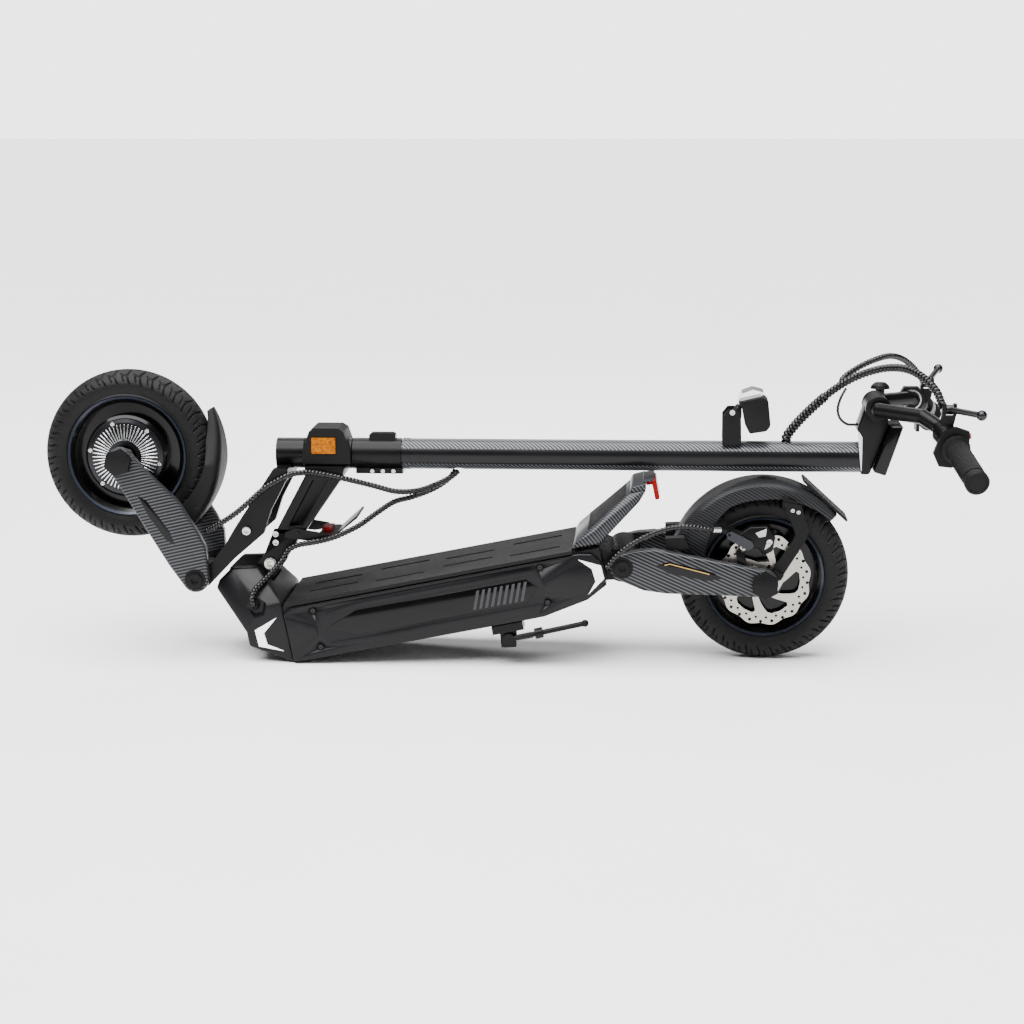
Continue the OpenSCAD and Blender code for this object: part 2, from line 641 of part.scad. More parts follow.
module lever_catch() color([0.85, 0.05, 0.03]) in_stem() translate([lever_x + 34, -14, lever_z + 5.3])
  cube([14, 28, 7]);

module deck_cable() color([0.06, 0.06, 0.06]) in_stem() cable(deck_route, 4.5, -1);

// Steering

module fork_leg() polygon([[10, 148], [-47, 62], [-66, 30], [-88, 2], [-127, -14], [-116, -35],
  [-90, -30], [-50, 12],
  [-6, 50], [6, 86], [28, 128], [32, 148]]);

module fork() color([0.05, 0.05, 0.055]) in_stem() {
  difference() {
    union() {
      bar_x(stem_r, crown_x, head_x - side_gap, stem_offset);
      slab(-leg_y - leg_t, leg_y + leg_t) polygon([[12, 128], [12, 148], [32, 148], [32, 134], [28, 128]]);
      both_sides() difference() {
        slab(leg_y, leg_y + leg_t) fork_leg();
        bar_y(pivot_r + run_gap, 0, 90, -front_pivot_x, -front_pivot_z);
      }
      slab(-leg_y, leg_y) polygon([[-44, 58], [-30, 82], [-18, 78], [-30, 52]]);
    }
    bar_x(steerer_r - 3, crown_x - 1, sleeve_end, stem_offset);
  }
  difference() {
    bar_x(steerer_r, head_x - side_gap, sleeve_end - 2, stem_offset);
    bar_x(steerer_r - 3, head_x - 2, sleeve_end, stem_offset);
  }
}

module column() color([0.05, 0.05, 0.055]) in_stem() difference() {
  union() {
    bar_x(stem_r + 0.5, head_end + side_gap, sleeve_end, stem_offset);
    slab(-9, 9) polygon([[148, stem_offset + 20], [148, 192], [152, 195], [184, 195], [188, 192],
      [188, stem_offset + 20]]);
    slab(-12, 12) polygon([[128, 142], [128, 134], [199, 134], [199, 142]]);
  }
  bar_x(steerer_r + seat_gap, head_end, sleeve_end - 1, stem_offset);
}

module stem() color([0.07, 0.07, 0.075]) in_stem() difference() {
  union() {
    bar_x(stem_r, sleeve_end + 2 + seat_gap, stem_end, stem_offset);
    bar_x(stem_r + 0.8, sleeve_end + 2 + seat_gap, collar_x, stem_offset);
    bar_x(stem_r - stem_wall, sleeve_end + seat_gap, sleeve_end + 4, stem_offset);
  }
  bar_x(stem_r - stem_wall, collar_x, stem_end + 1, stem_offset);
  translate([774, 0, stem_offset]) cylinder(r = loom_r + 0.6, h = 40);
  translate([282, 0, stem_offset - 40]) cylinder(r = 12, h = 40);
}

module bar_path(r) {
  both_sides() for (i = [0:len(bar_pts) - 2]) {
    rod(bar_pts[i], bar_pts[i + 1], r);
    if (i > 0) translate(bar_pts[i]) sphere(r = r + 0.2);
  }
}

module stem_head() color([0.06, 0.06, 0.065]) in_stem() difference() {
  union() {
    slab(-24, 24) polygon([[stem_end + seat_gap, 140], [stem_end + seat_gap, 200], [876, 206],
      [890, clamp_z + 8],
      [clamp_x + 10, clamp_z + 8], [924, 214], [900, 150], [896, 140]]);
    bar_y(clamp_r, -clamp_y, clamp_y, clamp_x, clamp_z);
    bar_x(stem_r - stem_wall - seat_gap, stem_end - 30, stem_end + 2, stem_offset);
  }
  bar_y(bar_r + seat_gap, -clamp_y - 3, clamp_y + 3, clamp_x, clamp_z);
}

module handlebar() color([0.06, 0.06, 0.065]) in_stem() bar_path(bar_r);

module grips() color([0.05, 0.05, 0.05]) in_stem() both_sides() {
  difference() {
    union() {
      rod(grip_start, bar_pts[5] + grip_dir * 3, grip_r);
      rod(grip_start, grip_start + grip_dir * 4, grip_r + 4);
      rod(bar_pts[5] - grip_dir * 2, bar_pts[5] + grip_dir * 3, grip_r + 1.5);
    }
    rod(grip_start - grip_dir * 20, bar_pts[5] + grip_dir * seat_gap, bar_r + seat_gap);
  }
}

module lever_perches() color([0.06, 0.06, 0.065]) in_stem() both_sides() difference() {
  union() {
    rod([989, 138, 222], [994.8, 153, 215.7], 17);
    hull() {
      translate([984, 138, 226]) cube([16, 14, 8]);
      translate([lever_pivot[0] - perch_w / 2, 138, lever_pivot[2] - 4]) cube([perch_w, 14, 12]);
    }
  }
  bar_path(bar_r + seat_gap);
  difference() {
    translate([lever_pivot[0] - eye_w / 2 - side_gap, 137, lever_pivot[2] - 9])
      cube([eye_w + 2 * side_gap, 22, 40]);
    translate([lever_pivot[0] - eye_w, lever_pivot[1], lever_pivot[2]]) rotate([0, 90, 0])
      cylinder(r = pin_r, h = 2 * eye_w);
  }
}

// Brake lever for the right side: eye, blade and ball end
module lever_blade() {
  difference() {
    translate(lever_pivot - [eye_w / 2, 0, 0]) rotate([0, 90, 0]) cylinder(r = 7, h = eye_w);
    translate(lever_pivot - [eye_w, 0, 0]) rotate([0, 90, 0]) cylinder(r = pin_r + run_gap, h = 2 * eye_w);
  }
  rod(lever_pivot + lever_dir * 6.5, lever_tip, 4.5);
  translate(lever_tip) sphere(r = 7.5);
}

module left_lever() color([0.35, 0.36, 0.38]) in_stem() mirror([0, 1, 0]) lever_blade();

module right_lever() color([0.35, 0.36, 0.38]) in_stem() lever_blade();

module display() color([0.05, 0.05, 0.055]) in_stem() slab(-38, 38)
  polygon([[924.2, 214], [944, 215], [919, 140], [900.2, 146]]);

module left_pod() color([0.06, 0.06, 0.065]) in_stem() difference() {
  slab(-174.5, -162) polygon([[980, 178], [972, 196], [984, 228], [1004, 234], [pod_top, 228],
    [pod_top, 192], [998, 176]]);
  bar_path(bar_r + seat_gap);
  for (z = [horn_z, light_z]) bar_x(button_r + 0.3, pod_top - 5, pod_top + 1, z, button_y);
}

module button(z) difference() {
  bar_x(button_r, pod_top - 3.2, pod_top + 2.5, z, button_y);
  translate([pod_top + 8, button_y, z]) sphere(r = 6.2);
}

module horn_button() color([0.7, 0.08, 0.05]) in_stem() button(horn_z);

module light_button() color([0.5, 0.5, 0.5]) in_stem() button(light_z);

module throttle_pod() color([0.06, 0.06, 0.065]) in_stem() difference() {
  translate([968, 118, 236]) rotate([90, 0, 0]) cylinder(r = 22, h = 18, $fn = 6);
  bar_path(bar_r + seat_gap);
  translate([976, 100, 206]) cube([20, 19, 16]);
}

module throttle_paddle() color([0.1, 0.1, 0.1]) in_stem() {
  translate([978, 121, 205]) rotate([90, 0, 0]) cylinder(r = 5, h = 16);
  translate([977, 105, 186]) cube([5, 34, 20]);
}

module bell() color([0.08, 0.08, 0.085]) in_stem() {
  difference() {
    translate([916, 57, clamp_z]) cylinder(r = 7, h = 19);
    bar_path(bar_r + seat_gap);
    translate([900, 40, clamp_z - 20]) cube([40, 40, 26]);
  }
  translate([916, 57, clamp_z + 19]) cylinder(r1 = 15, r2 = 13, h = 5);
  translate([916, 57, clamp_z + 24]) cylinder(r1 = 13, r2 = 8, h = 4);
}

module headlight_bracket() color([0.05, 0.05, 0.055]) in_stem() difference() {
  union() {
    slab(-22, 22) polygon([[678, stem_offset + 20], [678, 189], [706, 189], [706, stem_offset + 20]]);
    both_sides() slab(20, 23) polygon([[678, 186], [678, 226], [686, 236], [698, 236], [705, 226],
      [706, 186]]);
  }
  bar_x(stem_r + seat_gap, 670, 712, stem_offset);
  bar_y(3 + run_gap, -30, 30, headlight_x, headlight_z);
}

module headlight_case() color([0.06, 0.06, 0.065]) in_stem() {
  bar_y(3, -25, 25, headlight_x, headlight_z);
  slab(-19.5, 19.5) polygon([[headlight_x - 6, headlight_z + 5], [headlight_x + 4, headlight_z - 6],
    [706, 224], [706, 238],
    [700, 240]]);
  slab(-26, 26) polygon([[707, 236], [700, 248], [734, 256], [745, 250], [749, 212], [743, 204],
    [718, 200], [711, 214]]);
}

module headlight_lens() color([0.7, 0.72, 0.75]) in_stem() slab(-23, 23)
  polygon([[701, 248.6], [706, 260], [722, 266], [738, 262], [735, 256.6]]);

module steering_bolts() color([0.75, 0.75, 0.74]) in_stem() {
  for (x = [153, 169, 185]) both_sides() bar_y(3, 12 + seat_gap, 15, x, 138);
  both_sides() bar_y(5.5, leg_y + leg_t + seat_gap, leg_y + leg_t + 4, -31, 55);
  both_sides() bar_y(4, 23 + seat_gap, 25.5, 692, headlight_z + 12);
}

module cable_loom() color([0.06, 0.06, 0.06]) in_stem() {
  cable(loom_route, loom_r);
  cable(right_route, 5);
  cable(thin_route, 2.2);
}

module wheel_cable() color([0.06, 0.06, 0.06]) in_stem() cable(wheel_route, 4.5, -1);

module brake_cable() color([0.06, 0.06, 0.06]) in_deck() cable(brake_route, 4);

deck_tray();
deck_mat();
battery_pack();
controller();
front_casting();
side_covers();
corner_reflectors();
hinge_pin();
side_screws();
kickplate();
tail_light();
kickstand_mount();
kickstand();
rear_arms();
rear_caps();
rear_axle();
rear_fender();
rear_fender_stays();
brake_caliper();
caliper_arm();
rear_tyre();
rear_hub();
brake_disc();
brake_cable();
neck_frame();
neck_pins();
light_housing();
side_reflectors();
fold_lever();
lever_catch();
deck_cable();
fork();
column();
stem();
stem_head();
handlebar();
grips();
lever_perches();
left_lever();
right_lever();
display();
left_pod();
horn_button();
light_button();
throttle_pod();
throttle_paddle();
bell();
headlight_bracket();
headlight_case();
headlight_lens();
steering_bolts();
cable_loom();
wheel_cable();
front_arms();
front_caps();
front_axle();
front_fender();
front_tyre();
front_hub();
hub_cover();
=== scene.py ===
import bpy
import json
import math
from mathutils import Matrix, Vector


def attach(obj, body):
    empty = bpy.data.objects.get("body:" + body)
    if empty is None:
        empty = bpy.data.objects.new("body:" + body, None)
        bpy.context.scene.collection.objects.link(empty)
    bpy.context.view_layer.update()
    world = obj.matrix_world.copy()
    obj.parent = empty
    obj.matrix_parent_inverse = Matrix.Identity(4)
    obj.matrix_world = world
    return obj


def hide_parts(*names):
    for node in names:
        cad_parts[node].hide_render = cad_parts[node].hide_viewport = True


# Folding electric kick scooter, folded, on a pale floor.
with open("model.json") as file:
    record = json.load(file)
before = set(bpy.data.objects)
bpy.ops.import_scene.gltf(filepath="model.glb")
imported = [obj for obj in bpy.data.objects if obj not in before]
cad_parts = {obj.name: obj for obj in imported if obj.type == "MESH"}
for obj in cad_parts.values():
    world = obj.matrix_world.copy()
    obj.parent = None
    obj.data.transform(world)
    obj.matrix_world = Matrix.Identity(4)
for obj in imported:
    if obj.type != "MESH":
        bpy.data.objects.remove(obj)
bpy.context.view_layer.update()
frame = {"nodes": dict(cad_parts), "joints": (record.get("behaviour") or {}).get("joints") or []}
joints = {joint["name"]: joint for joint in frame["joints"]}
nodes = frame["nodes"]
mm = 0.001

# the two frames that the pieces are drawn in, found from the joints
deckDrawing = {"hinge": (-0.773, 0.117), "steerHeight": 0.163}


def frameMatrix(origin, xDir):
    zDir = xDir.cross(Vector((0, 1, 0)))
    turn = Matrix((xDir, Vector((0, 1, 0)), zDir)).transposed()
    return Matrix.Translation(origin) @ turn.to_4x4()


rearAxle = Vector(joints["rear_spin"]["pos_m"])
hingePoint = Vector(joints["fold"]["pos_m"]) - rearAxle
hingeX, hingeZ = deckDrawing["hinge"]
lean = math.atan2(hingePoint.z, hingePoint.x) - math.atan2(hingeZ, hingeX)
deckFrame = frameMatrix(rearAxle, Vector((math.cos(lean), 0, math.sin(lean))))
steerAxis = Vector(joints["steer"]["axis"]).normalized()
stemFrame = frameMatrix(Vector(joints["steer"]["pos_m"]), steerAxis)
stemFrame = stemFrame @ Matrix.Translation((0, 0, -deckDrawing["steerHeight"]))
frontAxle = stemFrame.inverted() @ Vector(joints["front_spin"]["pos_m"])
print("frames: deck leans", round(math.degrees(lean), 2), "front axle", [round(v, 4) for v in frontAxle])

# camera, floor and light
view = {"lens": 84.375, "fromRearAxle": (-0.1663, -3.563, 0.7502), "down": 10.491, "left": 3.419}
cameraData = bpy.data.cameras.new("viewCamera")
cameraData.lens = view["lens"]
cameraData.clip_end = 30
camera = bpy.data.objects.new("viewCamera", cameraData)
bpy.context.scene.collection.objects.link(camera)
alongX, acrossY, upZ = view["fromRearAxle"]
camera.location = (rearAxle.x + alongX, acrossY, rearAxle.z + upZ)
camera.rotation_euler = (math.radians(90 - view["down"]), 0, math.radians(view["left"]))
bpy.context.scene.camera = camera

studio = {"sky": 0.18, "backdrop": 3.5, "overhead": 12.5, "spread": 70, "aim": (0, 0, 0.2)}
areaLights = {
    "keyLight": dict(place=(-1.6, -2.4, 3.0), size=(2.4, 1.6), power=100),
    "fillLight": dict(place=(2.4, -2.6, 1.6), size=(2.0, 1.4), power=30),
    "rimLight": dict(place=(0.3, 2.6, 2.2), size=(3.0, 0.8), power=50),
}
world = bpy.data.worlds.new("studioWorld")
world.use_nodes = True
sky = world.node_tree.nodes["Background"]
sky.inputs["Color"].default_value = (1, 1, 1, 1)
bpy.context.scene.world = world
seen = world.node_tree.nodes.new("ShaderNodeLightPath").outputs["Is Camera Ray"]
strength = world.node_tree.nodes.new("ShaderNodeMapRange")
strength.inputs["To Min"].default_value = studio["sky"]
strength.inputs["To Max"].default_value = studio["backdrop"]
world.node_tree.links.new(seen, strength.inputs["Value"])
world.node_tree.links.new(strength.outputs[0], sky.inputs["Strength"])


def areaLight(name, place, size, power):
    data = bpy.data.lights.new(name, "AREA")
    data.shape = "RECTANGLE"
    data.size, data.size_y = size
    data.energy = power
    lamp = bpy.data.objects.new(name, data)
    lamp.location = place
    lamp.rotation_euler = (Vector(studio["aim"]) - Vector(place)).to_track_quat("-Z", "Y").to_euler()
    bpy.context.scene.collection.objects.link(lamp)


for name, light in areaLights.items():
    areaLight(name, **light)
overheadData = bpy.data.lights.new("overheadLight", "SUN")
overheadData.energy = studio["overhead"]
overheadData.angle = math.radians(studio["spread"])
overhead = bpy.data.objects.new("overheadLight", overheadData)
overhead.rotation_euler = (math.radians(12), math.radians(-8), 0)
bpy.context.scene.collection.objects.link(overhead)


# shader helpers
def addNode(tree, kind, settings=None, **inputs):
    node = tree.nodes.new(kind)
    for key, value in (settings or {}).items():
        setattr(node, key, value)
    for key, value in inputs.items():
        numbered = key.startswith("in") and key[2:].isdigit()
        socket = node.inputs[int(key[2:]) if numbered else key.replace("_", " ")]
        if isinstance(value, bpy.types.NodeSocket):
            tree.links.new(value, socket)
        else:
            socket.default_value = value
    return node


def maths(tree, operation, a, b=0.0, c=0.0):
    return addNode(tree, "ShaderNodeMath", {"operation": operation}, in0=a, in1=b, in2=c).outputs[0]


def remap(tree, value, fromMin, fromMax, toMin=0.0, toMax=1.0):
    return addNode(tree, "ShaderNodeMapRange", Value=value, From_Min=fromMin, From_Max=fromMax,
                   To_Min=toMin, To_Max=toMax).outputs[0]


def blendColours(tree, factor, first, second):
    node = tree.nodes.new("ShaderNodeMix")
    node.data_type = "RGBA"
    for index, value in ((0, factor), (6, first), (7, second)):
        if isinstance(value, bpy.types.NodeSocket):
            tree.links.new(value, node.inputs[index])
        else:
            node.inputs[index].default_value = value if index == 0 else (*value, 1)
    return node.outputs[2]


def newGroup(name, inputs, outputs):
    group = bpy.data.node_groups.new(name, "ShaderNodeTree")
    for label, kind, value in inputs:
        socket = group.interface.new_socket(label, in_out="INPUT", socket_type=kind)
        if value is not None:
            socket.default_value = value
    for label, kind in outputs:
        group.interface.new_socket(label, in_out="OUTPUT", socket_type=kind)
    return group, group.nodes.new("NodeGroupInput"), group.nodes.new("NodeGroupOutput")


def placeGroup(tree, group, **inputs):
    node = addNode(tree, "ShaderNodeGroup", {"node_tree": group})
    for key, value in inputs.items():
        socket = node.inputs[key.replace("_", " ")]
        if isinstance(value, bpy.types.NodeSocket):
            tree.links.new(value, socket)
        else:
            socket.default_value = value
    return node


floatKind, vectorKind = "NodeSocketFloat", "NodeSocketVector"

# grain: fine moulded or powder texture, with a slow variation under it
grainGroup, groupIn, groupOut = newGroup(
    "grain", [("Vector", vectorKind, None), ("Size", floatKind, 400.0)],
    [("Height", floatKind), ("Slow", floatKind)])
fine = addNode(grainGroup, "ShaderNodeTexNoise", Vector=groupIn.outputs["Vector"],
               Scale=groupIn.outputs["Size"], Detail=4.0, Roughness=0.6)
slow = addNode(grainGroup, "ShaderNodeTexNoise", Vector=groupIn.outputs["Vector"], Scale=9.0, Detail=5.0)
grainGroup.links.new(fine.outputs[0], groupOut.inputs["Height"])
grainGroup.links.new(remap(grainGroup, slow.outputs[0], 0.35, 0.65), groupOut.inputs["Slow"])

# scuffs: thin scratches and rubbed patches
scuffGroup, groupIn, groupOut = newGroup(
    "scuffs", [("Vector", vectorKind, None), ("Amount", floatKind, 0.2)], [("Mask", floatKind)])
stretched = addNode(scuffGroup, "ShaderNodeMapping", Vector=groupIn.outputs["Vector"])
stretched.inputs["Rotation"].default_value = (0.3, 0.5, 0.2)
stretched.inputs["Scale"].default_value = (14, 90, 160)
lines = addNode(scuffGroup, "ShaderNodeTexNoise", Vector=stretched.outputs[0], Scale=1.0, Detail=6.0,
                Roughness=0.7)
patches = addNode(scuffGroup, "ShaderNodeTexNoise", Vector=groupIn.outputs["Vector"], Scale=16.0, Detail=3.0)
lineMask = remap(scuffGroup, lines.outputs[0], 0.62, 0.72)
patchMask = remap(scuffGroup, patches.outputs[0], 0.5, 0.7)
both = maths(scuffGroup, "MULTIPLY", lineMask, patchMask)
scuffGroup.links.new(maths(scuffGroup, "MULTIPLY", both, groupIn.outputs["Amount"]), groupOut.inputs["Mask"])

# carbonWeave: slanted silver-grey stripes of a woven-look film, each shaded across with a painted sheen and
# broken into short threads
carbonGroup, groupIn, groupOut = newGroup(
    "carbonWeave", [("Vector", vectorKind, None), ("Pitch", floatKind, 0.0075), ("Slant", floatKind, 0.6)],
    [("SheenedStripe", floatKind), ("Height", floatKind)])
turned = addNode(carbonGroup, "ShaderNodeVectorRotate", {"rotation_type": "Y_AXIS"},
                 Vector=groupIn.outputs["Vector"], Angle=groupIn.outputs["Slant"])
parts = addNode(carbonGroup, "ShaderNodeSeparateXYZ", Vector=turned.outputs[0])
across = maths(carbonGroup, "ADD", parts.outputs[2], maths(carbonGroup, "MULTIPLY", parts.outputs[1], 0.7))
phase = maths(carbonGroup, "DIVIDE", across, groupIn.outputs["Pitch"])
wave = maths(carbonGroup, "SINE", maths(carbonGroup, "MULTIPLY", phase, 2 * math.pi))
threads = maths(carbonGroup, "SINE", maths(carbonGroup, "MULTIPLY", parts.outputs[0], 2 * math.pi / 0.0016))
# each stripe is the film's pattern, with a painted sheen shading across it
sheenedStripe = remap(carbonGroup, wave, -0.35, 0.75)
thread = remap(carbonGroup, threads, -1, 1, 0.72, 1)
carbonGroup.links.new(maths(carbonGroup, "MULTIPLY", sheenedStripe, thread), groupOut.inputs["SheenedStripe"])
carbonGroup.links.new(sheenedStripe, groupOut.inputs["Height"])


def startMaterial(name, metallic=0.0, roughness=0.4, coat=0.0, coatRoughness=0.1, specular=0.5):
    material = bpy.data.materials.new(name)
    material.use_nodes = True
    tree = material.node_tree
    shader = tree.nodes["Principled BSDF"]
    shader.inputs["Metallic"].default_value = metallic
    shader.inputs["Roughness"].default_value = roughness
    shader.inputs["Coat Weight"].default_value = coat
    shader.inputs["Coat Roughness"].default_value = coatRoughness
    shader.inputs["Specular IOR Level"].default_value = specular
    coords = tree.nodes.new("ShaderNodeTexCoord").outputs["Object"]
    return material, tree, shader, coords


def addBump(tree, shader, height, strength, distance=0.0004):
    bump = addNode(tree, "ShaderNodeBump", Height=height, Strength=strength, Distance=distance)
    tree.links.new(bump.outputs[0], shader.inputs["Normal"])


# plain finishes: colour drifts a little, scuffs are lighter, roughness follows both
def makeFinish(name, colour, rubbed, roughness, metallic=0.0, coat=0.0, size=500.0,
               bump=0.2, scuff=0.3, specular=0.5):
    material, tree, shader, coords = startMaterial(name, metallic, roughness[0], coat, specular=specular)
    grain = placeGroup(tree, grainGroup, Vector=coords, Size=size)
    scuffs = placeGroup(tree, scuffGroup, Vector=coords, Amount=scuff)
    darker = tuple(v * 0.78 for v in colour)
    base = blendColours(tree, grain.outputs["Slow"], darker, colour)
    tree.links.new(blendColours(tree, scuffs.outputs["Mask"], base, rubbed), shader.inputs["Base Color"])
    mixed = maths(tree, "ADD", maths(tree, "MULTIPLY", grain.outputs["Slow"], roughness[1] - roughness[0]),
                  roughness[0])
    tree.links.new(maths(tree, "ADD", mixed, maths(tree, "MULTIPLY", scuffs.outputs["Mask"], 0.15)),
                   shader.inputs["Roughness"])
    addBump(tree, shader, grain.outputs["Height"], bump)
    return material


finishes = {
    "satinBlack": dict(colour=(0.0022, 0.0022, 0.0025), rubbed=(0.012, 0.012, 0.012), roughness=(0.26, 0.36),
                       size=900.0, bump=0.2, specular=0.12),
    "glossBlack": dict(colour=(0.0015, 0.0015, 0.0018), rubbed=(0.01, 0.01, 0.01), roughness=(0.12, 0.2),
                       coat=0.1, bump=0.03, specular=0.12),
    "mouldedBlack": dict(colour=(0.0028, 0.0028, 0.003), rubbed=(0.012, 0.012, 0.012), roughness=(0.38, 0.5),
                         size=1400.0, bump=0.4, specular=0.12),
    "deckPaint": dict(colour=(0.0042, 0.0042, 0.005), rubbed=(0.016, 0.016, 0.018), roughness=(0.32, 0.42),
                      size=1100.0, bump=0.3, specular=0.16),
    "softRubber": dict(colour=(0.003, 0.003, 0.003), rubbed=(0.012, 0.012, 0.012), roughness=(0.55, 0.7),
                       size=1600.0, bump=0.5, specular=0.12),
    "castAlloy": dict(colour=(0.42, 0.42, 0.43), rubbed=(0.62, 0.62, 0.62), roughness=(0.35, 0.5),
                      metallic=1.0, bump=0.3),
    "zincSteel": dict(colour=(0.5, 0.49, 0.46), rubbed=(0.7, 0.7, 0.68), roughness=(0.2, 0.32), metallic=1.0,
                      bump=0.12),
    "blackBolt": dict(colour=(0.008, 0.008, 0.0085), rubbed=(0.06, 0.06, 0.06), roughness=(0.3, 0.42),
                      metallic=0.5, bump=0.15),
    "greyAnodised": dict(colour=(0.035, 0.036, 0.04), rubbed=(0.15, 0.15, 0.15), roughness=(0.26, 0.36),
                         metallic=1.0, bump=0.15),
    "coverGrey": dict(colour=(0.01, 0.0105, 0.0125), rubbed=(0.05, 0.05, 0.05), roughness=(0.22, 0.32),
                      metallic=0.7, bump=0.1),
    "brightRib": dict(colour=(0.72, 0.73, 0.74), rubbed=(0.9, 0.9, 0.9), roughness=(0.16, 0.26),
                      metallic=1.0, bump=0.05),
    "redPlastic": dict(colour=(0.2, 0.002, 0.0015), rubbed=(0.3, 0.03, 0.025), roughness=(0.25, 0.35),
                       coat=0.2, bump=0.05, specular=0.3),
    "greyPlastic": dict(colour=(0.12, 0.12, 0.125), rubbed=(0.2, 0.2, 0.2), roughness=(0.35, 0.45), bump=0.1),
    "batteryWrap": dict(colour=(0.02, 0.06, 0.25), rubbed=(0.1, 0.15, 0.3), roughness=(0.2, 0.3), bump=0.05),
    "cableWrap": dict(colour=(0.0015, 0.0015, 0.0015), rubbed=(0.02, 0.02, 0.02), roughness=(0.12, 0.2),
                      size=300.0, bump=0.05, specular=0.3),
    "slashGrey": dict(colour=(0.022, 0.022, 0.025), rubbed=(0.05, 0.05, 0.05), roughness=(0.4, 0.5),
                      bump=0.1, specular=0.3),
    "brassLine": dict(colour=(0.4, 0.27, 0.09), rubbed=(0.6, 0.5, 0.3), roughness=(0.25, 0.35), metallic=1.0,
                      bump=0.05),
    "silverTrim": dict(colour=(0.6, 0.61, 0.62), rubbed=(0.8, 0.8, 0.8), roughness=(0.18, 0.26),
                       metallic=1.0, bump=0.05),
}
paint = {name: makeFinish(name, **values) for name, values in finishes.items()}


# film with slanted stripes under a clear coat; the stripes are the film's pattern with a painted sheen across
# each
def makeCarbon(name, slant, coat=0.08, rough=(0.28, 0.4), pitch=0.0048, light=(0.06, 0.0625, 0.068),
               dark=(0.002, 0.002, 0.0025)):
    material, tree, shader, coords = startMaterial(name, 0.1, 0.36, coat, 0.2, 0.15)
    weave = placeGroup(tree, carbonGroup, Vector=coords, Pitch=pitch, Slant=slant)
    grain = placeGroup(tree, grainGroup, Vector=coords, Size=900.0)
    scuffs = placeGroup(tree, scuffGroup, Vector=coords, Amount=0.2)
    striped = blendColours(tree, weave.outputs["SheenedStripe"], dark, light)
    tree.links.new(blendColours(tree, scuffs.outputs["Mask"], striped, (0.2, 0.2, 0.2)),
                   shader.inputs["Base Color"])
    tree.links.new(remap(tree, grain.outputs["Slow"], 0, 1, *rough), shader.inputs["Roughness"])
    addBump(tree, shader, weave.outputs["Height"], 0.25, 0.0003)
    return material


paint["carbonFront"] = makeCarbon("carbonFront", math.radians(13))
paint["carbonRear"] = makeCarbon("carbonRear", math.radians(-24))
paint["carbonFender"] = makeCarbon("carbonFender", math.radians(-30), 0.0, (0.45, 0.55), pitch=0.0042,
                                   light=(0.022, 0.023, 0.026))
paint["fenderFilm"] = makeCarbon("fenderFilm", math.radians(20), 0.0, (0.5, 0.6), 0.003,
                                 (0.006, 0.006, 0.007), (0.002, 0.002, 0.0022))
paint["carbonPlate"] = makeCarbon("carbonPlate", math.radians(-50), light=(0.06, 0.063, 0.07))


# satin tube with a woven-look band along its top and its underside, its stripes carrying a painted sheen
def makeStemPaint():
    material, tree, shader, coords = startMaterial("stemPaint", 0.1, 0.3, 0.1, 0.2, 0.15)
    height = Vector(joints["steer"]["pos_m"]).z
    parts = addNode(tree, "ShaderNodeSeparateXYZ", Vector=coords)
    side = maths(tree, "ABSOLUTE", maths(tree, "SUBTRACT", parts.outputs[2], height))
    band = remap(tree, side, 0.0112, 0.0118)
    upper = maths(tree, "SIGN", maths(tree, "SUBTRACT", parts.outputs[2], height))
    wrapped = addNode(tree, "ShaderNodeCombineXYZ", X=parts.outputs[0], Z=parts.outputs[2],
                      Y=maths(tree, "MULTIPLY", parts.outputs[1], upper))
    weave = placeGroup(tree, carbonGroup, Vector=wrapped.outputs[0], Pitch=0.0052, Slant=math.radians(-58))
    grain = placeGroup(tree, grainGroup, Vector=coords, Size=900.0)
    striped = blendColours(tree, weave.outputs["SheenedStripe"], (0.002, 0.002, 0.0025), (0.11, 0.115, 0.125))
    tree.links.new(blendColours(tree, band, (0.0028, 0.0028, 0.0036), striped), shader.inputs["Base Color"])
    tree.links.new(remap(tree, grain.outputs["Slow"], 0, 1, 0.26, 0.36), shader.inputs["Roughness"])
    addBump(tree, shader, maths(tree, "MULTIPLY", weave.outputs["Height"], band), 0.2, 0.0002)
    return material


paint["stemPaint"] = makeStemPaint()


# how far a point lies from an axle, for rings round it
def axleDistance(tree, coords, axle):
    centred = addNode(tree, "ShaderNodeMapping", Vector=coords)
    centred.inputs["Location"].default_value = (-axle.x, 0, -axle.z)
    parts = addNode(tree, "ShaderNodeSeparateXYZ", Vector=centred.outputs[0])
    flat = addNode(tree, "ShaderNodeCombineXYZ", X=parts.outputs[0], Z=parts.outputs[2])
    return addNode(tree, "ShaderNodeVectorMath", {"operation": "LENGTH"},
                   in0=flat.outputs[0]).outputs["Value"]


# gloss casting with a painted blue-grey highlight ring near the rim's edge, on Object coordinates from the
# axle
def makeRim(name, axle):
    material, tree, shader, coords = startMaterial(name, 0.3, 0.2, 0.15, 0.08, 0.15)
    radius = axleDistance(tree, coords, axle)
    # the ring between 86.2 and 90.5 mm from the axle is a painted highlight in the base colour
    lip = maths(tree, "MULTIPLY", remap(tree, radius, 0.0862, 0.0868), remap(tree, radius, 0.0905, 0.0899))
    grain = placeGroup(tree, grainGroup, Vector=coords, Size=500.0)
    tree.links.new(blendColours(tree, lip, (0.0018, 0.0018, 0.002), (0.022, 0.026, 0.038)),
                   shader.inputs["Base Color"])
    tree.links.new(remap(tree, grain.outputs["Slow"], 0, 1, 0.14, 0.26), shader.inputs["Roughness"])
    addBump(tree, shader, grain.outputs["Height"], 0.06)
    return material


paint["rearRim"] = makeRim("rearRim", rearAxle)
paint["frontRim"] = makeRim("frontRim", Vector(joints["front_spin"]["pos_m"]))


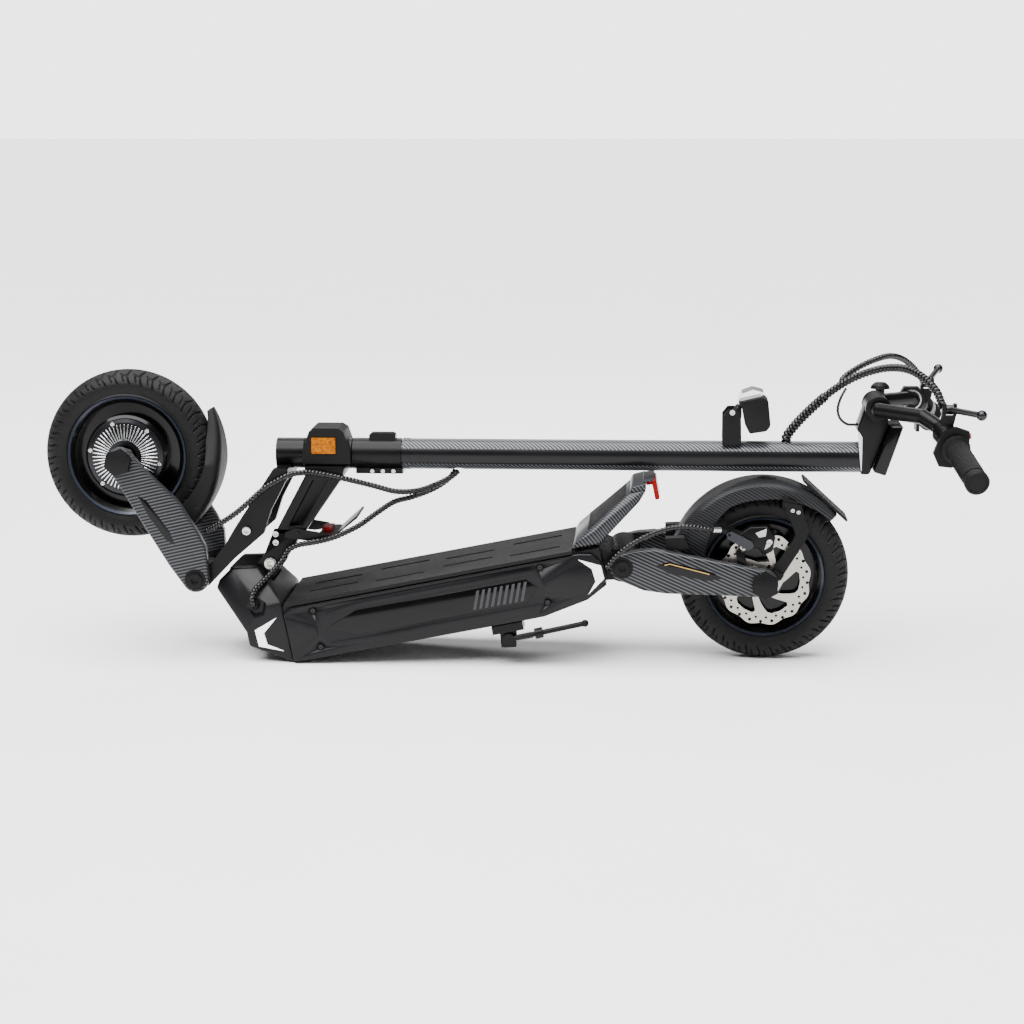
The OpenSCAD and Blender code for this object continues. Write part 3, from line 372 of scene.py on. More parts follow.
# rubber that is dustier on the tread and has fine rings on the wall
def makeTyreRubber(name, axle):
    material, tree, shader, coords = startMaterial(name, 0.0, 0.6, 0.0, 0.2, 0.14)
    radius = axleDistance(tree, coords, axle)
    grain = placeGroup(tree, grainGroup, Vector=coords, Size=700.0)
    tread = remap(tree, radius, 0.108, 0.118)
    dust = maths(tree, "MULTIPLY", tread, grain.outputs["Slow"])
    tree.links.new(blendColours(tree, dust, (0.0025, 0.0025, 0.0025), (0.011, 0.011, 0.0115)),
                   shader.inputs["Base Color"])
    tree.links.new(remap(tree, tread, 0, 1, 0.42, 0.66), shader.inputs["Roughness"])
    rings = maths(tree, "SINE", maths(tree, "MULTIPLY", radius, 2 * math.pi / 0.0016))
    wallRings = maths(tree, "MULTIPLY", rings, maths(tree, "SUBTRACT", 1.0, tread))
    height = maths(tree, "ADD", grain.outputs["Height"], maths(tree, "MULTIPLY", wallRings, 0.5))
    addBump(tree, shader, height, 0.3)
    return material


paint["rearRubber"] = makeTyreRubber("rearRubber", rearAxle)
paint["frontRubber"] = makeTyreRubber("frontRubber", Vector(joints["front_spin"]["pos_m"]))


# prismatic reflector: small cells painted lighter or darker as painted glints, with an optional painted glow
def makeReflector(name, colour, light, paintedGlow=0.0):
    material, tree, shader, coords = startMaterial(name, 0.0, 0.25, 0.0, 0.06, 0.06)
    # each cell's colour lies between the base and the light colour: painted glints of the prisms
    cells = addNode(tree, "ShaderNodeTexVoronoi", Vector=coords, Scale=330.0)
    brick = addNode(tree, "ShaderNodeSeparateColor", Color=cells.outputs["Color"])
    tree.links.new(blendColours(tree, brick.outputs[0], colour, light), shader.inputs["Base Color"])
    tree.links.new(remap(tree, brick.outputs[1], 0, 1, 0.08, 0.3), shader.inputs["Roughness"])
    addBump(tree, shader, cells.outputs["Distance"], 0.5, 0.0006)
    # painted glow: the reflector gives off its light colour although it is no lamp
    if paintedGlow:
        shader.inputs["Emission Color"].default_value = (*light, 1)
        shader.inputs["Emission Strength"].default_value = paintedGlow
    return material


# the white corner reflectors get a painted glow of strength 0.5
paint["whitePrism"] = makeReflector("whitePrism", (0.75, 0.76, 0.79), (0.95, 0.96, 0.98), 0.5)
paint["orangePrism"] = makeReflector("orangePrism", (0.16, 0.04, 0.0), (0.34, 0.105, 0.0))
paint["redPrism"] = makeReflector("redPrism", (0.14, 0.0006, 0.0006), (0.3, 0.003, 0.003))


# ground steel: rings of fine scratches round the rear axle
def makeDiscSteel():
    material, tree, shader, coords = startMaterial("discSteel", 1.0, 0.28)
    radius = axleDistance(tree, coords, rearAxle)
    rings = addNode(tree, "ShaderNodeTexNoise", {"noise_dimensions": "1D"}, Scale=2600.0, Detail=3.0,
                    W=radius)
    tree.links.new(blendColours(tree, rings.outputs[0], (0.24, 0.225, 0.2), (0.44, 0.42, 0.38)),
                   shader.inputs["Base Color"])
    tree.links.new(remap(tree, rings.outputs[0], 0.3, 0.7, 0.22, 0.42), shader.inputs["Roughness"])
    addBump(tree, shader, rings.outputs[0], 0.15, 0.0002)
    return material


paint["discSteel"] = makeDiscSteel()


# foot mat: fine cross ribs in the rubber, along the deck
def makeMat():
    material, tree, shader, coords = startMaterial("matRubber", 0.0, 0.6, 0.0, 0.2, 0.14)
    turned = addNode(tree, "ShaderNodeVectorRotate", {"rotation_type": "Y_AXIS"}, Vector=coords, Angle=lean)
    parts = addNode(tree, "ShaderNodeSeparateXYZ", Vector=turned.outputs[0])
    oneWay = maths(tree, "ADD", parts.outputs[0], parts.outputs[1])
    otherWay = maths(tree, "SUBTRACT", parts.outputs[0], parts.outputs[1])
    cross = maths(tree, "SINE", maths(tree, "MULTIPLY", oneWay, 1500.0))
    back = maths(tree, "SINE", maths(tree, "MULTIPLY", otherWay, 1500.0))
    knobs = maths(tree, "MULTIPLY", cross, back)
    grain = placeGroup(tree, grainGroup, Vector=coords, Size=1500.0)
    scuffs = placeGroup(tree, scuffGroup, Vector=coords, Amount=0.3)
    base = blendColours(tree, grain.outputs["Slow"], (0.0028, 0.0028, 0.003), (0.0055, 0.0055, 0.006))
    tree.links.new(blendColours(tree, scuffs.outputs["Mask"], base, (0.06, 0.06, 0.06)),
                   shader.inputs["Base Color"])
    tree.links.new(remap(tree, grain.outputs["Slow"], 0, 1, 0.5, 0.68), shader.inputs["Roughness"])
    addBump(tree, shader, maths(tree, "ADD", knobs, maths(tree, "MULTIPLY", grain.outputs["Height"], 0.4)),
            0.35, 0.0003)
    return material


paint["matRubber"] = makeMat()


def makeGlass():
    material, tree, shader, coords = startMaterial("lensGlass", 0.0, 0.08, 0.5, 0.03)
    shader.inputs["Transmission Weight"].default_value = 0.85
    shader.inputs["IOR"].default_value = 1.45
    grain = placeGroup(tree, grainGroup, Vector=coords, Size=260.0)
    tree.links.new(blendColours(tree, grain.outputs["Slow"], (0.78, 0.8, 0.83), (0.92, 0.94, 0.96)),
                   shader.inputs["Base Color"])
    tree.links.new(remap(tree, grain.outputs["Height"], 0.3, 0.7, 0.03, 0.12), shader.inputs["Roughness"])
    addBump(tree, shader, grain.outputs["Height"], 0.1)
    return material


paint["lensGlass"] = makeGlass()
print("materials:", len(paint))

# finishes on the carried-over nodes
nodeFinish = {
    "satinBlack": ["deck_tray", "kickstand_mount", "kickstand", "neck_frame", "fold_lever", "fork", "column",
                   "stem_head",
                   "handlebar", "lever_perches", "brake_caliper"],
    "deckPaint": ["front_casting", "kickplate"],
    "mouldedBlack": ["side_covers", "light_housing", "left_pod", "throttle_pod", "throttle_paddle", "bell",
                     "headlight_bracket", "headlight_case", "rear_fender_stays", "rear_caps", "front_caps"],
    "matRubber": ["deck_mat"],
    "softRubber": ["grips", "cable_loom", "deck_cable", "wheel_cable", "brake_cable"],
    "batteryWrap": ["battery_pack"], "castAlloy": ["controller"], "blackBolt": ["side_screws"],
    "zincSteel": ["hinge_pin", "neck_pins", "rear_axle", "front_axle", "steering_bolts"],
    "glossBlack": ["display"], "greyAnodised": ["left_lever", "right_lever", "caliper_arm"],
    "coverGrey": ["hub_cover"],
    "redPlastic": ["lever_catch", "horn_button"], "greyPlastic": ["light_button"],
    "carbonRear": ["rear_arms"], "carbonFront": ["front_arms"],
    "carbonFender": ["rear_fender", "front_fender"],
    "stemPaint": ["stem"], "rearRim": ["rear_hub"], "frontRim": ["front_hub"], "rearRubber": ["rear_tyre"],
    "frontRubber": ["front_tyre"], "discSteel": ["brake_disc"], "whitePrism": ["corner_reflectors"],
    "orangePrism": ["side_reflectors"], "redPrism": ["tail_light"], "lensGlass": ["headlight_lens"],
}
for finish, names in nodeFinish.items():
    for name in names:
        mesh = nodes[name].data
        mesh.materials.clear()
        mesh.materials.append(paint[finish])
unpainted = set(nodes) - {name for names in nodeFinish.values() for name in names}
print("carried-over nodes painted, left over:", sorted(unpainted))


# modelling helpers
def deselectAll():
    if bpy.context.mode != "OBJECT":
        bpy.ops.object.mode_set(mode="OBJECT")
    bpy.ops.object.select_all(action="DESELECT")


def useOnly(piece):
    deselectAll()
    piece.select_set(True)
    bpy.context.view_layer.objects.active = piece


def applyModifier(piece, kind, **settings):
    useOnly(piece)
    modifier = piece.modifiers.new(kind.lower(), kind)
    for key, value in settings.items():
        setattr(modifier, key, value)
    bpy.ops.object.modifier_apply(modifier=modifier.name)


# moves a piece into its frame with its place in its mesh, and says what carries it
def settle(piece, name, body, finish, placed=None, stands=()):
    useOnly(piece)
    if placed is not None:
        piece.data.transform(placed)
    piece.name = name
    piece.data.name = name
    piece.data.materials.clear()
    piece.data.materials.append(finish)
    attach(piece, body)
    if stands:
        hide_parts(*stands)


def joinPieces(pieces):
    deselectAll()
    for piece in pieces:
        piece.select_set(True)
    bpy.context.view_layer.objects.active = pieces[0]
    bpy.ops.object.join()
    return bpy.context.view_layer.objects.active


# an outline in XZ, in mm, extruded along Y with rounded edges
def outlineSolid(points, y0, y1, bevel=0.0015, segments=3, angle=30):
    deselectAll()
    bpy.ops.mesh.primitive_circle_add(vertices=len(points), radius=1, fill_type="NGON")
    piece = bpy.context.object
    for vertex, point in zip(piece.data.vertices, points):
        vertex.co = (point[0] * mm, y0 * mm, point[1] * mm)
    bpy.ops.object.mode_set(mode="EDIT")
    bpy.ops.mesh.select_all(action="SELECT")
    bpy.ops.mesh.extrude_region_move(TRANSFORM_OT_translate={"value": (0, (y1 - y0) * mm, 0)})
    bpy.ops.mesh.select_all(action="SELECT")
    bpy.ops.mesh.normals_make_consistent(inside=False)
    bpy.ops.object.mode_set(mode="OBJECT")
    if bevel:
        applyModifier(piece, "BEVEL", width=bevel, segments=segments, limit_method="ANGLE",
                      angle_limit=math.radians(angle), harden_normals=False)
        bpy.ops.object.shade_smooth_by_angle(angle=math.radians(40))
    return piece


# a profile of (radius, y) points in mm spun about Y
def turnedSolid(profile, steps=96):
    deselectAll()
    bpy.ops.mesh.primitive_circle_add(vertices=len(profile), radius=1)
    piece = bpy.context.object
    for vertex, point in zip(piece.data.vertices, profile):
        vertex.co = (point[0] * mm, point[1] * mm, 0)
    bpy.ops.object.mode_set(mode="EDIT")
    bpy.ops.mesh.select_all(action="SELECT")
    bpy.ops.mesh.spin(steps=steps, angle=2 * math.pi, center=(0, 0, 0), axis=(0, 1, 0))
    bpy.ops.mesh.select_all(action="SELECT")
    bpy.ops.mesh.remove_doubles(threshold=0.000005)
    bpy.ops.mesh.normals_make_consistent(inside=False)
    bpy.ops.object.mode_set(mode="OBJECT")
    bpy.ops.object.shade_smooth_by_angle(angle=math.radians(35))
    return piece


# a copy of a piece on the other side of the middle plane
def mirrored(piece):
    useOnly(piece)
    bpy.ops.object.duplicate()
    twin = bpy.context.object
    twin.data.transform(Matrix.Scale(-1, 4, (0, 1, 0)))
    twin.data.flip_normals()
    return twin


# a bolt head standing on Y = 0 and pointing to -Y, with a rounded edge
def boltHead(radius, height, sides=6, socket=0.0):
    deselectAll()
    bpy.ops.mesh.primitive_cylinder_add(vertices=sides, radius=radius * mm, depth=height * mm,
                                        rotation=(math.pi / 2, 0, 0))
    piece = bpy.context.object
    bpy.ops.object.transform_apply(location=True, rotation=True, scale=True)
    piece.data.transform(Matrix.Translation((0, -height * mm / 2, 0)))
    if socket:
        bpy.ops.object.mode_set(mode="EDIT")
        bpy.ops.mesh.select_mode(type="FACE")
        bpy.ops.mesh.select_all(action="DESELECT")
        bpy.ops.object.mode_set(mode="OBJECT")
        for face in piece.data.polygons:
            face.select = face.normal.y < -0.9
        bpy.ops.object.mode_set(mode="EDIT")
        bpy.ops.mesh.inset(thickness=(radius - socket) * mm)
        bpy.ops.mesh.extrude_region_move(TRANSFORM_OT_translate={"value": (0, height * 0.6 * mm, 0)})
        bpy.ops.object.mode_set(mode="OBJECT")
    applyModifier(piece, "BEVEL", width=min(0.0006, height * 0.2 * mm), segments=2, limit_method="ANGLE",
                  angle_limit=math.radians(35))
    bpy.ops.object.shade_smooth_by_angle(angle=math.radians(40))
    return piece


# copies of a piece at places in mm, joined in one mesh; the pattern piece itself is used up
def copyAt(piece, places, turns=None):
    made = []
    for index, place in enumerate(places):
        useOnly(piece)
        bpy.ops.object.duplicate()
        copied = bpy.context.object
        move = Matrix.Translation(Vector(place) * mm)
        if turns:
            move = move @ turns[index]
        copied.data.transform(move)
        made.append(copied)
    bpy.data.objects.remove(piece)
    return joinPieces(made)


def hullSolid(points, bevel=0.003, segments=3):
    mesh = bpy.data.meshes.new("hull")
    mesh.from_pydata([tuple(v * mm for v in point) for point in points], [], [])
    piece = bpy.data.objects.new("hull", mesh)
    bpy.context.scene.collection.objects.link(piece)
    useOnly(piece)
    bpy.ops.object.mode_set(mode="EDIT")
    bpy.ops.mesh.select_all(action="SELECT")
    bpy.ops.mesh.convex_hull()
    bpy.ops.mesh.select_all(action="SELECT")
    bpy.ops.mesh.dissolve_limited(angle_limit=math.radians(2))
    bpy.ops.mesh.select_all(action="SELECT")
    bpy.ops.mesh.normals_make_consistent(inside=False)
    bpy.ops.object.mode_set(mode="OBJECT")
    if bevel:
        roundEdges(piece, bevel, segments)
    return piece


def roundEdges(piece, width, segments=3, angle=28):
    applyModifier(piece, "BEVEL", width=width, segments=segments, limit_method="ANGLE",
                  angle_limit=math.radians(angle))
    bpy.ops.object.shade_smooth_by_angle(angle=math.radians(40))


def slabPoints(outline, y0, y1):
    return [(x, y, z) for x, z in outline for y in (y0, y1)]


def combine(piece, other, operation="DIFFERENCE"):
    applyModifier(piece, "BOOLEAN", object=other, operation=operation, solver="EXACT")
    bpy.data.objects.remove(other)
    return piece


def pins(places, radius, y0, y1, sides=24):
    made = []
    for x, z in places:
        pin = turnedSolid([(0.001, y0), (radius, y0), (radius, y1), (0.001, y1)], sides)
        pin.data.transform(Matrix.Translation((x * mm, 0, z * mm)))
        made.append(pin)
    return joinPieces(made)


def polar(radius, degrees):
    return (radius * math.cos(math.radians(degrees)), radius * math.sin(math.radians(degrees)))


def mix(a, b, t):
    return a + (b - a) * max(0.0, min(1.0, t))


print("helpers ready")

# tyres: carcass spun about the axle, then tread grooves sunk into it
tyreShape = {"radius": 128, "rimRadius": 86.05, "width": 62, "pitches": 38, "grooveDepth": 2.6,
             "grooveWidth": 1.5,
             "steps": 608, "crownPoints": 44}


def tyreProfile():
    half = tyreShape["width"] / 2
    outer = tyreShape["radius"]
    points = []
    for index in range(tyreShape["crownPoints"] + 1):
        a = math.radians(-84 + 168 * index / tyreShape["crownPoints"])
        points.append((outer - half * 0.72 * (1 - math.cos(a)), half * 0.985 * math.sin(a)))
    wall = [(102, half * 0.975), (97, half * 0.94), (93.5, half * 0.9), (91.4, half * 0.95),
            (90.2, half * 0.9)]
    inside = [(tyreShape["rimRadius"], half * 0.62), (tyreShape["rimRadius"], -half * 0.62)]
    return points + wall + inside + [(r, -y) for r, y in reversed(wall)]


# how deep the tread is cut, from 0 to 1; across runs from -1 to 1 over the crown
def grooveAt(turnCount, across):
    side = abs(across)
    shift = 0.5 if across > 0 else 0.0
    curve = 0.34 * math.sin(side * math.pi * 0.9) + shift
    length = 2 * math.pi * tyreShape["radius"] / tyreShape["pitches"]
    reach = tyreShape["grooveWidth"]
    depth = 0.0
    main = abs((turnCount - curve + 0.5) % 1.0 - 0.5) * length
    if side > 0.16:
        depth = max(depth, 1 - main / reach)
    short = abs((turnCount - curve - 0.47 + 0.1 * side + 0.5) % 1.0 - 0.5) * length
    if 0.5 < side < 0.86:
        depth = max(depth, 1 - short / (reach * 0.8))
    hook = abs(side - 0.5 - 0.06 * math.sin(2 * math.pi * (turnCount - curve))) * 34
    if (turnCount - curve) % 1.0 < 0.56:
        depth = max(depth, 1 - hook / (reach * 0.8))
    middle = abs(across - 0.13 * math.sin(2 * math.pi * turnCount)) * 34
    depth = max(depth, 1 - middle / (reach * 0.9))
    return min(1.0, max(0.0, depth * 2.2))


def makeTyre(name, axle, body, finish, node):
    piece = turnedSolid(tyreProfile(), tyreShape["steps"])
    outer = tyreShape["radius"] * mm
    half = tyreShape["width"] / 2 * mm
    for vertex in piece.data.vertices:
        x, y, z = vertex.co
        radius = math.hypot(x, z)
        drop = (outer - radius) / (half * 0.72)
        if drop > 0.93:
            continue
        across = math.copysign(math.acos(max(-1.0, 1 - max(0.0, drop))) / math.radians(80), y)
        sink = grooveAt(math.atan2(z, x) / (2 * math.pi) * tyreShape["pitches"], across)
        sink *= tyreShape["grooveDepth"] * mm * min(1.0, (1.12 - abs(across)) * 5)
        if sink > 0:
            direction = Vector((x / radius * math.cos(abs(across)), math.sin(across),
                                z / radius * math.cos(abs(across))))
            vertex.co -= direction * sink
    bpy.ops.object.shade_smooth_by_angle(angle=math.radians(28))
    settle(piece, name, body, finish, Matrix.Translation(axle), [node])


frontAxleWorld = Vector(joints["front_spin"]["pos_m"])
makeTyre("treadedRearTyre", rearAxle, "rear_wheel", paint["rearRubber"], "rear_tyre")
makeTyre("treadedFrontTyre", frontAxleWorld, "front_wheel", paint["frontRubber"], "front_tyre")
print("tyres: grooves cut")

# hub details: fan ribs, cover bolts and drum screws
fan = {"ribs": 52, "inner": (25.5, 43.6), "outer": (49.5, 40.6), "width": 1.7, "proud": 1.3}


def makeFan():
    ribs = []
    (r0, y0), (r1, y1) = fan["inner"], fan["outer"]
    rib = outlineSolid([(r0, y0 - 0.5), (r1, y1 - 0.5), (r1, y1 + fan["proud"]), (r0, y0 + fan["proud"])],
                       -fan["width"] / 2, fan["width"] / 2, 0.0003, 1)
    rib.data.transform(Matrix.Rotation(-math.pi / 2, 4, "X"))
    turns = [Matrix.Rotation(2 * math.pi * k / fan["ribs"], 4, "Y") for k in range(fan["ribs"])]
    ribs = copyAt(rib, [(0, 0, 0)] * fan["ribs"], turns)
    useOnly(ribs)
    bpy.ops.object.mode_set(mode="EDIT")
    bpy.ops.mesh.select_all(action="SELECT")
    bpy.ops.mesh.normals_make_consistent(inside=False)
    bpy.ops.object.mode_set(mode="OBJECT")
    return ribs


fanRibs = makeFan()
fanRibs = joinPieces([fanRibs, mirrored(fanRibs)])
settle(fanRibs, "hubFanRibs", "front_wheel", paint["brightRib"], Matrix.Translation(frontAxleWorld))


hubBolts = {
    "frontCoverBolts": dict(ring=53, count=6, y=42.0, start=-11, radius=3.6, height=2.2, body="front_wheel",
                            axle=frontAxleWorld, finish="zincSteel"),
    "rearDrumBolts": dict(ring=56, count=9, y=34.0, start=5, radius=2.6, height=1.8, body="rear_wheel",
                          axle=rearAxle, finish="blackBolt"),
}


def boltRing(name, ring, count, y, start, radius, height, body, axle, finish):
    head = boltHead(radius, height, 6, radius * 0.45)
    angles = [math.radians(start) + 2 * math.pi * k / count for k in range(count)]
    places = [(ring * math.cos(a), -y, ring * math.sin(a)) for a in angles]
    bolts = copyAt(head, places)
    bolts = joinPieces([bolts, mirrored(bolts)])
    settle(bolts, name, body, paint[finish], Matrix.Translation(axle))


for name, bolts in hubBolts.items():
    boltRing(name, **bolts)
print("hubs: fan ribs and bolts")


# swing arms: bevelled castings with a dark badge panel
def arc(cx, cz, radius, start, end, count):
    step = (end - start) / (count - 1)
    return [(cx + radius * math.cos(math.radians(start + step * k)),
             cz + radius * math.sin(math.radians(start + step * k)))
            for k in range(count)]


rearArm = {"inner": 66, "outer": 86, "pivot": (-202, 64), "radius": 20, "shaft": 8,
           "badge": [(-152, 58), (-132, 60), (-70, 31), (-62, 21), (-84, 22), (-138, 44)],
           "line": [(-140, 57.2), (-132, 57.6), (-77, 31.4), (-78, 30.2), (-132.4, 56.2), (-140, 55.8)]}
frontAxleMm = (frontAxle.x / mm, frontAxle.z / mm)
frontArm = {"pivot": (-107, -17),
            "badge": [(-190, 110), (-177, 102), (-144, 56), (-136, 36), (-148, 42), (-174, 78)]}


def makeArms(name, outline, pivot, badge, body, finish, node, placed):
    solid = outlineSolid(outline, -rearArm["outer"] + 0.2, -rearArm["inner"], 0.0042, 4, 28)
    shaft = turnedSolid([(0.001, -rearArm["outer"]), (rearArm["shaft"], -rearArm["outer"]),
                         (rearArm["shaft"], rearArm["outer"]), (0.001, rearArm["outer"])], 32)
    shaft.data.transform(Matrix.Translation((pivot[0] * mm, 0, pivot[1] * mm)))
    arms = joinPieces([solid, mirrored(solid), shaft])
    settle(arms, name, body, finish, placed, [node])
    plate = outlineSolid(badge, -rearArm["outer"] - 0.6, -rearArm["outer"] + 1.2, 0.0005, 2)
    plate = joinPieces([plate, mirrored(plate)])
    settle(plate, name + "Badges", body, paint["glossBlack"], placed)


brassLine = outlineSolid(rearArm["line"], -rearArm["outer"] - 0.9, -rearArm["outer"] - 0.4, 0)
settle(joinPieces([brassLine, mirrored(brassLine)]), "badgeLines", "rear_arm", paint["brassLine"],
       deckFrame)
px, pz = rearArm["pivot"]
endRadius = rearArm["radius"]
rearOutline = (arc(0, 0, endRadius, 64, -100, 9) + [(-60, -6), (-146, 13), (-178, 24)]
               + arc(px, pz, endRadius, 232, 84, 8) + [(-176, 85), (-150, 82)])
makeArms("rearSwingArms", rearOutline, rearArm["pivot"], rearArm["badge"], "rear_arm", paint["carbonRear"],
         "rear_arms", deckFrame)
ax, az = frontAxleMm
px, pz = frontArm["pivot"]
frontOutline = (arc(ax, az, endRadius, 42, 205, 9) + [(-184, 66), (-147, 5)]
                + arc(px, pz, endRadius, 222, 372, 9) + [(-90, 30), (-102, 54), (-130, 100), (-180, 148)])
makeArms("frontSwingArms", frontOutline, frontArm["pivot"], frontArm["badge"], "front_arm",
         paint["carbonFront"], "front_arms", stemFrame)


def axleCaps(name, axle, pivot, body, node, placed):
    cap = boltHead(21, 12.5, 6)
    ring = turnedSolid([(12, -87.5), (15.5, -87), (16, -86.1), (9, -86.1), (9, -87.2)], 40)
    places = [(axle[0], -86.1, axle[1])]
    caps = copyAt(cap, places, [Matrix.Rotation(math.radians(12), 4, "Y")])
    ring.data.transform(Matrix.Translation((pivot[0] * mm, 0, pivot[1] * mm)))
    button = boltHead(11, 4.6, 24, 5.5)
    button = copyAt(button, [(pivot[0], -86.2, pivot[1])])
    both = joinPieces([caps, ring, button])
    both = joinPieces([both, mirrored(both)])
    settle(both, name, body, paint["mouldedBlack"], placed, [node])


axleCaps("rearAxleCaps", (0, 0), rearArm["pivot"], "rear_arm", "rear_caps", deckFrame)
axleCaps("frontAxleCaps", frontAxleMm, frontArm["pivot"], "front_arm", "front_caps", stemFrame)
print("swing arms and caps")


# mudguards: a curved blade whose skirts change depth along it
# angles in degrees about Y; radius, half and skirt are functions of t from 0 to 1
def makeBlade(radius, angles, half, skirt, wall, columns=60):
    rows = 19
    deselectAll()
    bpy.ops.mesh.primitive_grid_add(x_subdivisions=columns, y_subdivisions=rows, size=1)
    piece = bpy.context.object
    for vertex in piece.data.vertices:
        t = vertex.co.x + 0.5
        s = vertex.co.y * 2
        width, depth = half(t), skirt(t)
        run = abs(s) * (width + depth)
        flat = width * 0.62
        if run < flat:
            y, drop = run, 0.0
        elif run < width + 8:
            k = (run - flat) / (width + 8 - flat)
            y, drop = flat + (width - flat) * math.sin(k * math.pi / 2), 9 * (1 - math.cos(k * math.pi / 2))
        else:
            y, drop = width, 9 + (run - width - 8) * (depth - 9) / max(1.0, depth - 8)
        r = radius(t) - drop
        a = math.radians(angles[0] + (angles[1] - angles[0]) * t)
        vertex.co = (r * math.cos(a) * mm, math.copysign(y, s) * mm, r * math.sin(a) * mm)
    useOnly(piece)
    bpy.ops.object.mode_set(mode="EDIT")
    bpy.ops.mesh.select_all(action="SELECT")
    bpy.ops.mesh.normals_make_consistent(inside=False)
    bpy.ops.object.mode_set(mode="OBJECT")
    middle = piece.data.polygons[len(piece.data.polygons) // 2]
    if middle.normal.dot(Vector((middle.center.x, 0, middle.center.z))) < 0:
        piece.data.flip_normals()
    applyModifier(piece, "SOLIDIFY", thickness=wall, offset=-1)
    applyModifier(piece, "BEVEL", width=0.0007, segments=2, limit_method="ANGLE",
                  angle_limit=math.radians(60))
    bpy.ops.object.shade_smooth_by_angle(angle=math.radians(40))
    return piece


rearBlade = makeBlade(lambda t: 144 + 2 * math.sin(t * math.pi), (30, 150),
                      lambda t: mix(32, 46, t * 4) - mix(0, 6, (t - 0.85) * 6),
                      lambda t: mix(14, 26, t * 2.4) + mix(0, 26, (t - 0.62) * 2.6), 0.0026)
finOutline = [(-34, 139), (-8, 146), (28, 146.6), (46, 140), (44, 134), (20, 140), (-10, 140)]
fin = outlineSolid(finOutline, -5, 5, 0.0016, 2)
settle(joinPieces([rearBlade, fin]), "rearMudguard", "rear_arm", paint["carbonFender"],
       deckFrame, ["rear_fender"])

frontBlade = makeBlade(lambda t: 147 - 4 * math.sin(t * math.pi), (-62, 29),
                       lambda t: mix(46, 8, (t - 0.62) * 2.6) - mix(8, 0, t * 7),
                       lambda t: mix(40, 22, t * 1.6) - mix(0, 12, (t - 0.8) * 5), 0.0026)
frontBlade.data.transform(Matrix.Translation(frontAxle))
brackets = outlineSolid([(58, -108), (84, -98), (100, -112), (76, -130)], 44, 65.8, 0.002, 2)
brackets.data.transform(Matrix.Translation(frontAxle))
brackets = joinPieces([brackets, mirrored(brackets)])
settle(frontBlade, "frontMudguard", "front_arm", paint["fenderFilm"], stemFrame,
       ["front_fender"])
settle(brackets, "frontMudguardBrackets", "front_arm", paint["mouldedBlack"], stemFrame)
print("mudguards")


# spiral-wrapped cables, along the same routes as their solids, in mm
cableRoutes = {
    "deckCableWrap": dict(node="deck_cable", body="neck", frame="stem", radius=4.5, side=-1, points=[
        (-18.9, 88, -55.2), (-21, 88.5, -44), (-18, 84.5, -33), (-8, 77, -22), (6, 67, -8), (20, 58, 8),
        (28, 54, 22), (44, 54, 31), (70, 54, 36), (94, 54, 42), (116, 52, 51), (138, 46, 62),
        (162, 32, 78), (186, 18, 92), (212, 8, 98), (240, 4, 108), (264, 0, 122), (278, -4, 138)]),
    "wheelCableWrap": dict(node="wheel_cable", body="steering", frame="stem", radius=4.5, side=-1, points=[
        (-92, 58, 52), (-80, 66, 60), (-64, 74, 70), (-44, 77, 84), (-24, 77, 101), (-4, 75, 119),
        (16, 73, 131), (36, 71, 141), (52, 64, 143), (66, 55, 142), (84, 48, 138), (108, 46, 133),
        (132, 38, 126), (158, 30, 118), (190, 24, 109), (222, 20, 110), (252, 16, 120), (272, 12, 130),
        (282, 6, 138)]),
    "loomWrap": dict(node="cable_loom", body="steering", frame="stem", radius=7.7, side=1, points=[
        (774, 0, 178), (774, 0, 192), (782, -1, 205), (796, -4, 222), (816, -9, 243), (840, -16, 265),
        (866, -24, 283), (894, -34, 296), (920, -48, 303), (944, -68, 303), (964, -92, 294),
        (980, -114, 278), (987, -127, 261), (988, -135.6, 259)]),
    "rightCableWrap": dict(node=None, body="steering", frame="stem", radius=4.8, side=1, points=[
        (853, -12.1, 277.6), (856, -3, 281.6), (868, 6, 290), (888, 12, 301), (908, 22, 308),
        (926, 40, 310), (942, 60, 306), (957, 81, 297), (971, 101, 284), (983, 118, 268), (988, 129, 260),
        (989, 137.5, 259)]),
    "thinCableWrap": dict(node=None, body="steering", frame="stem", radius=2.2, side=1, points=[
        (858, -29, 270), (850, -36, 256), (846, -38, 240), (850, -36, 226), (860, -28, 217),
        (869, -22, 215), (877.6, -18, 215)]),
    "brakeCableWrap": dict(node="brake_cable", body="rear_arm", frame="deck", radius=4, side=1, points=[
        (-225, -91, 69), (-218, -91.5, 75), (-206, -93, 85), (-188, -94, 95), (-166, -92, 103),
        (-142, -88, 108), (-118, -83, 109), (-96, -77, 105), (-78, -71, 98), (-64, -66, 92.5)]),
}


# points a step apart along a curve through the route's points
def smoothPath(points, step):
    path = []
    ends = [points[0] * 2 - points[1]] + points + [points[-1] * 2 - points[-2]]
    for i in range(1, len(ends) - 2):
        a, b, c, d = ends[i - 1:i + 3]
        count = max(2, int((c - b).length / step))
        for k in range(count):
            t = k / count
            path.append(0.5 * (2 * b + (c - a) * t + (2 * a - 5 * b + 4 * c - d) * t * t
                               + (3 * b - a - 3 * c + d) * t * t * t))
    return path + [points[-1]]


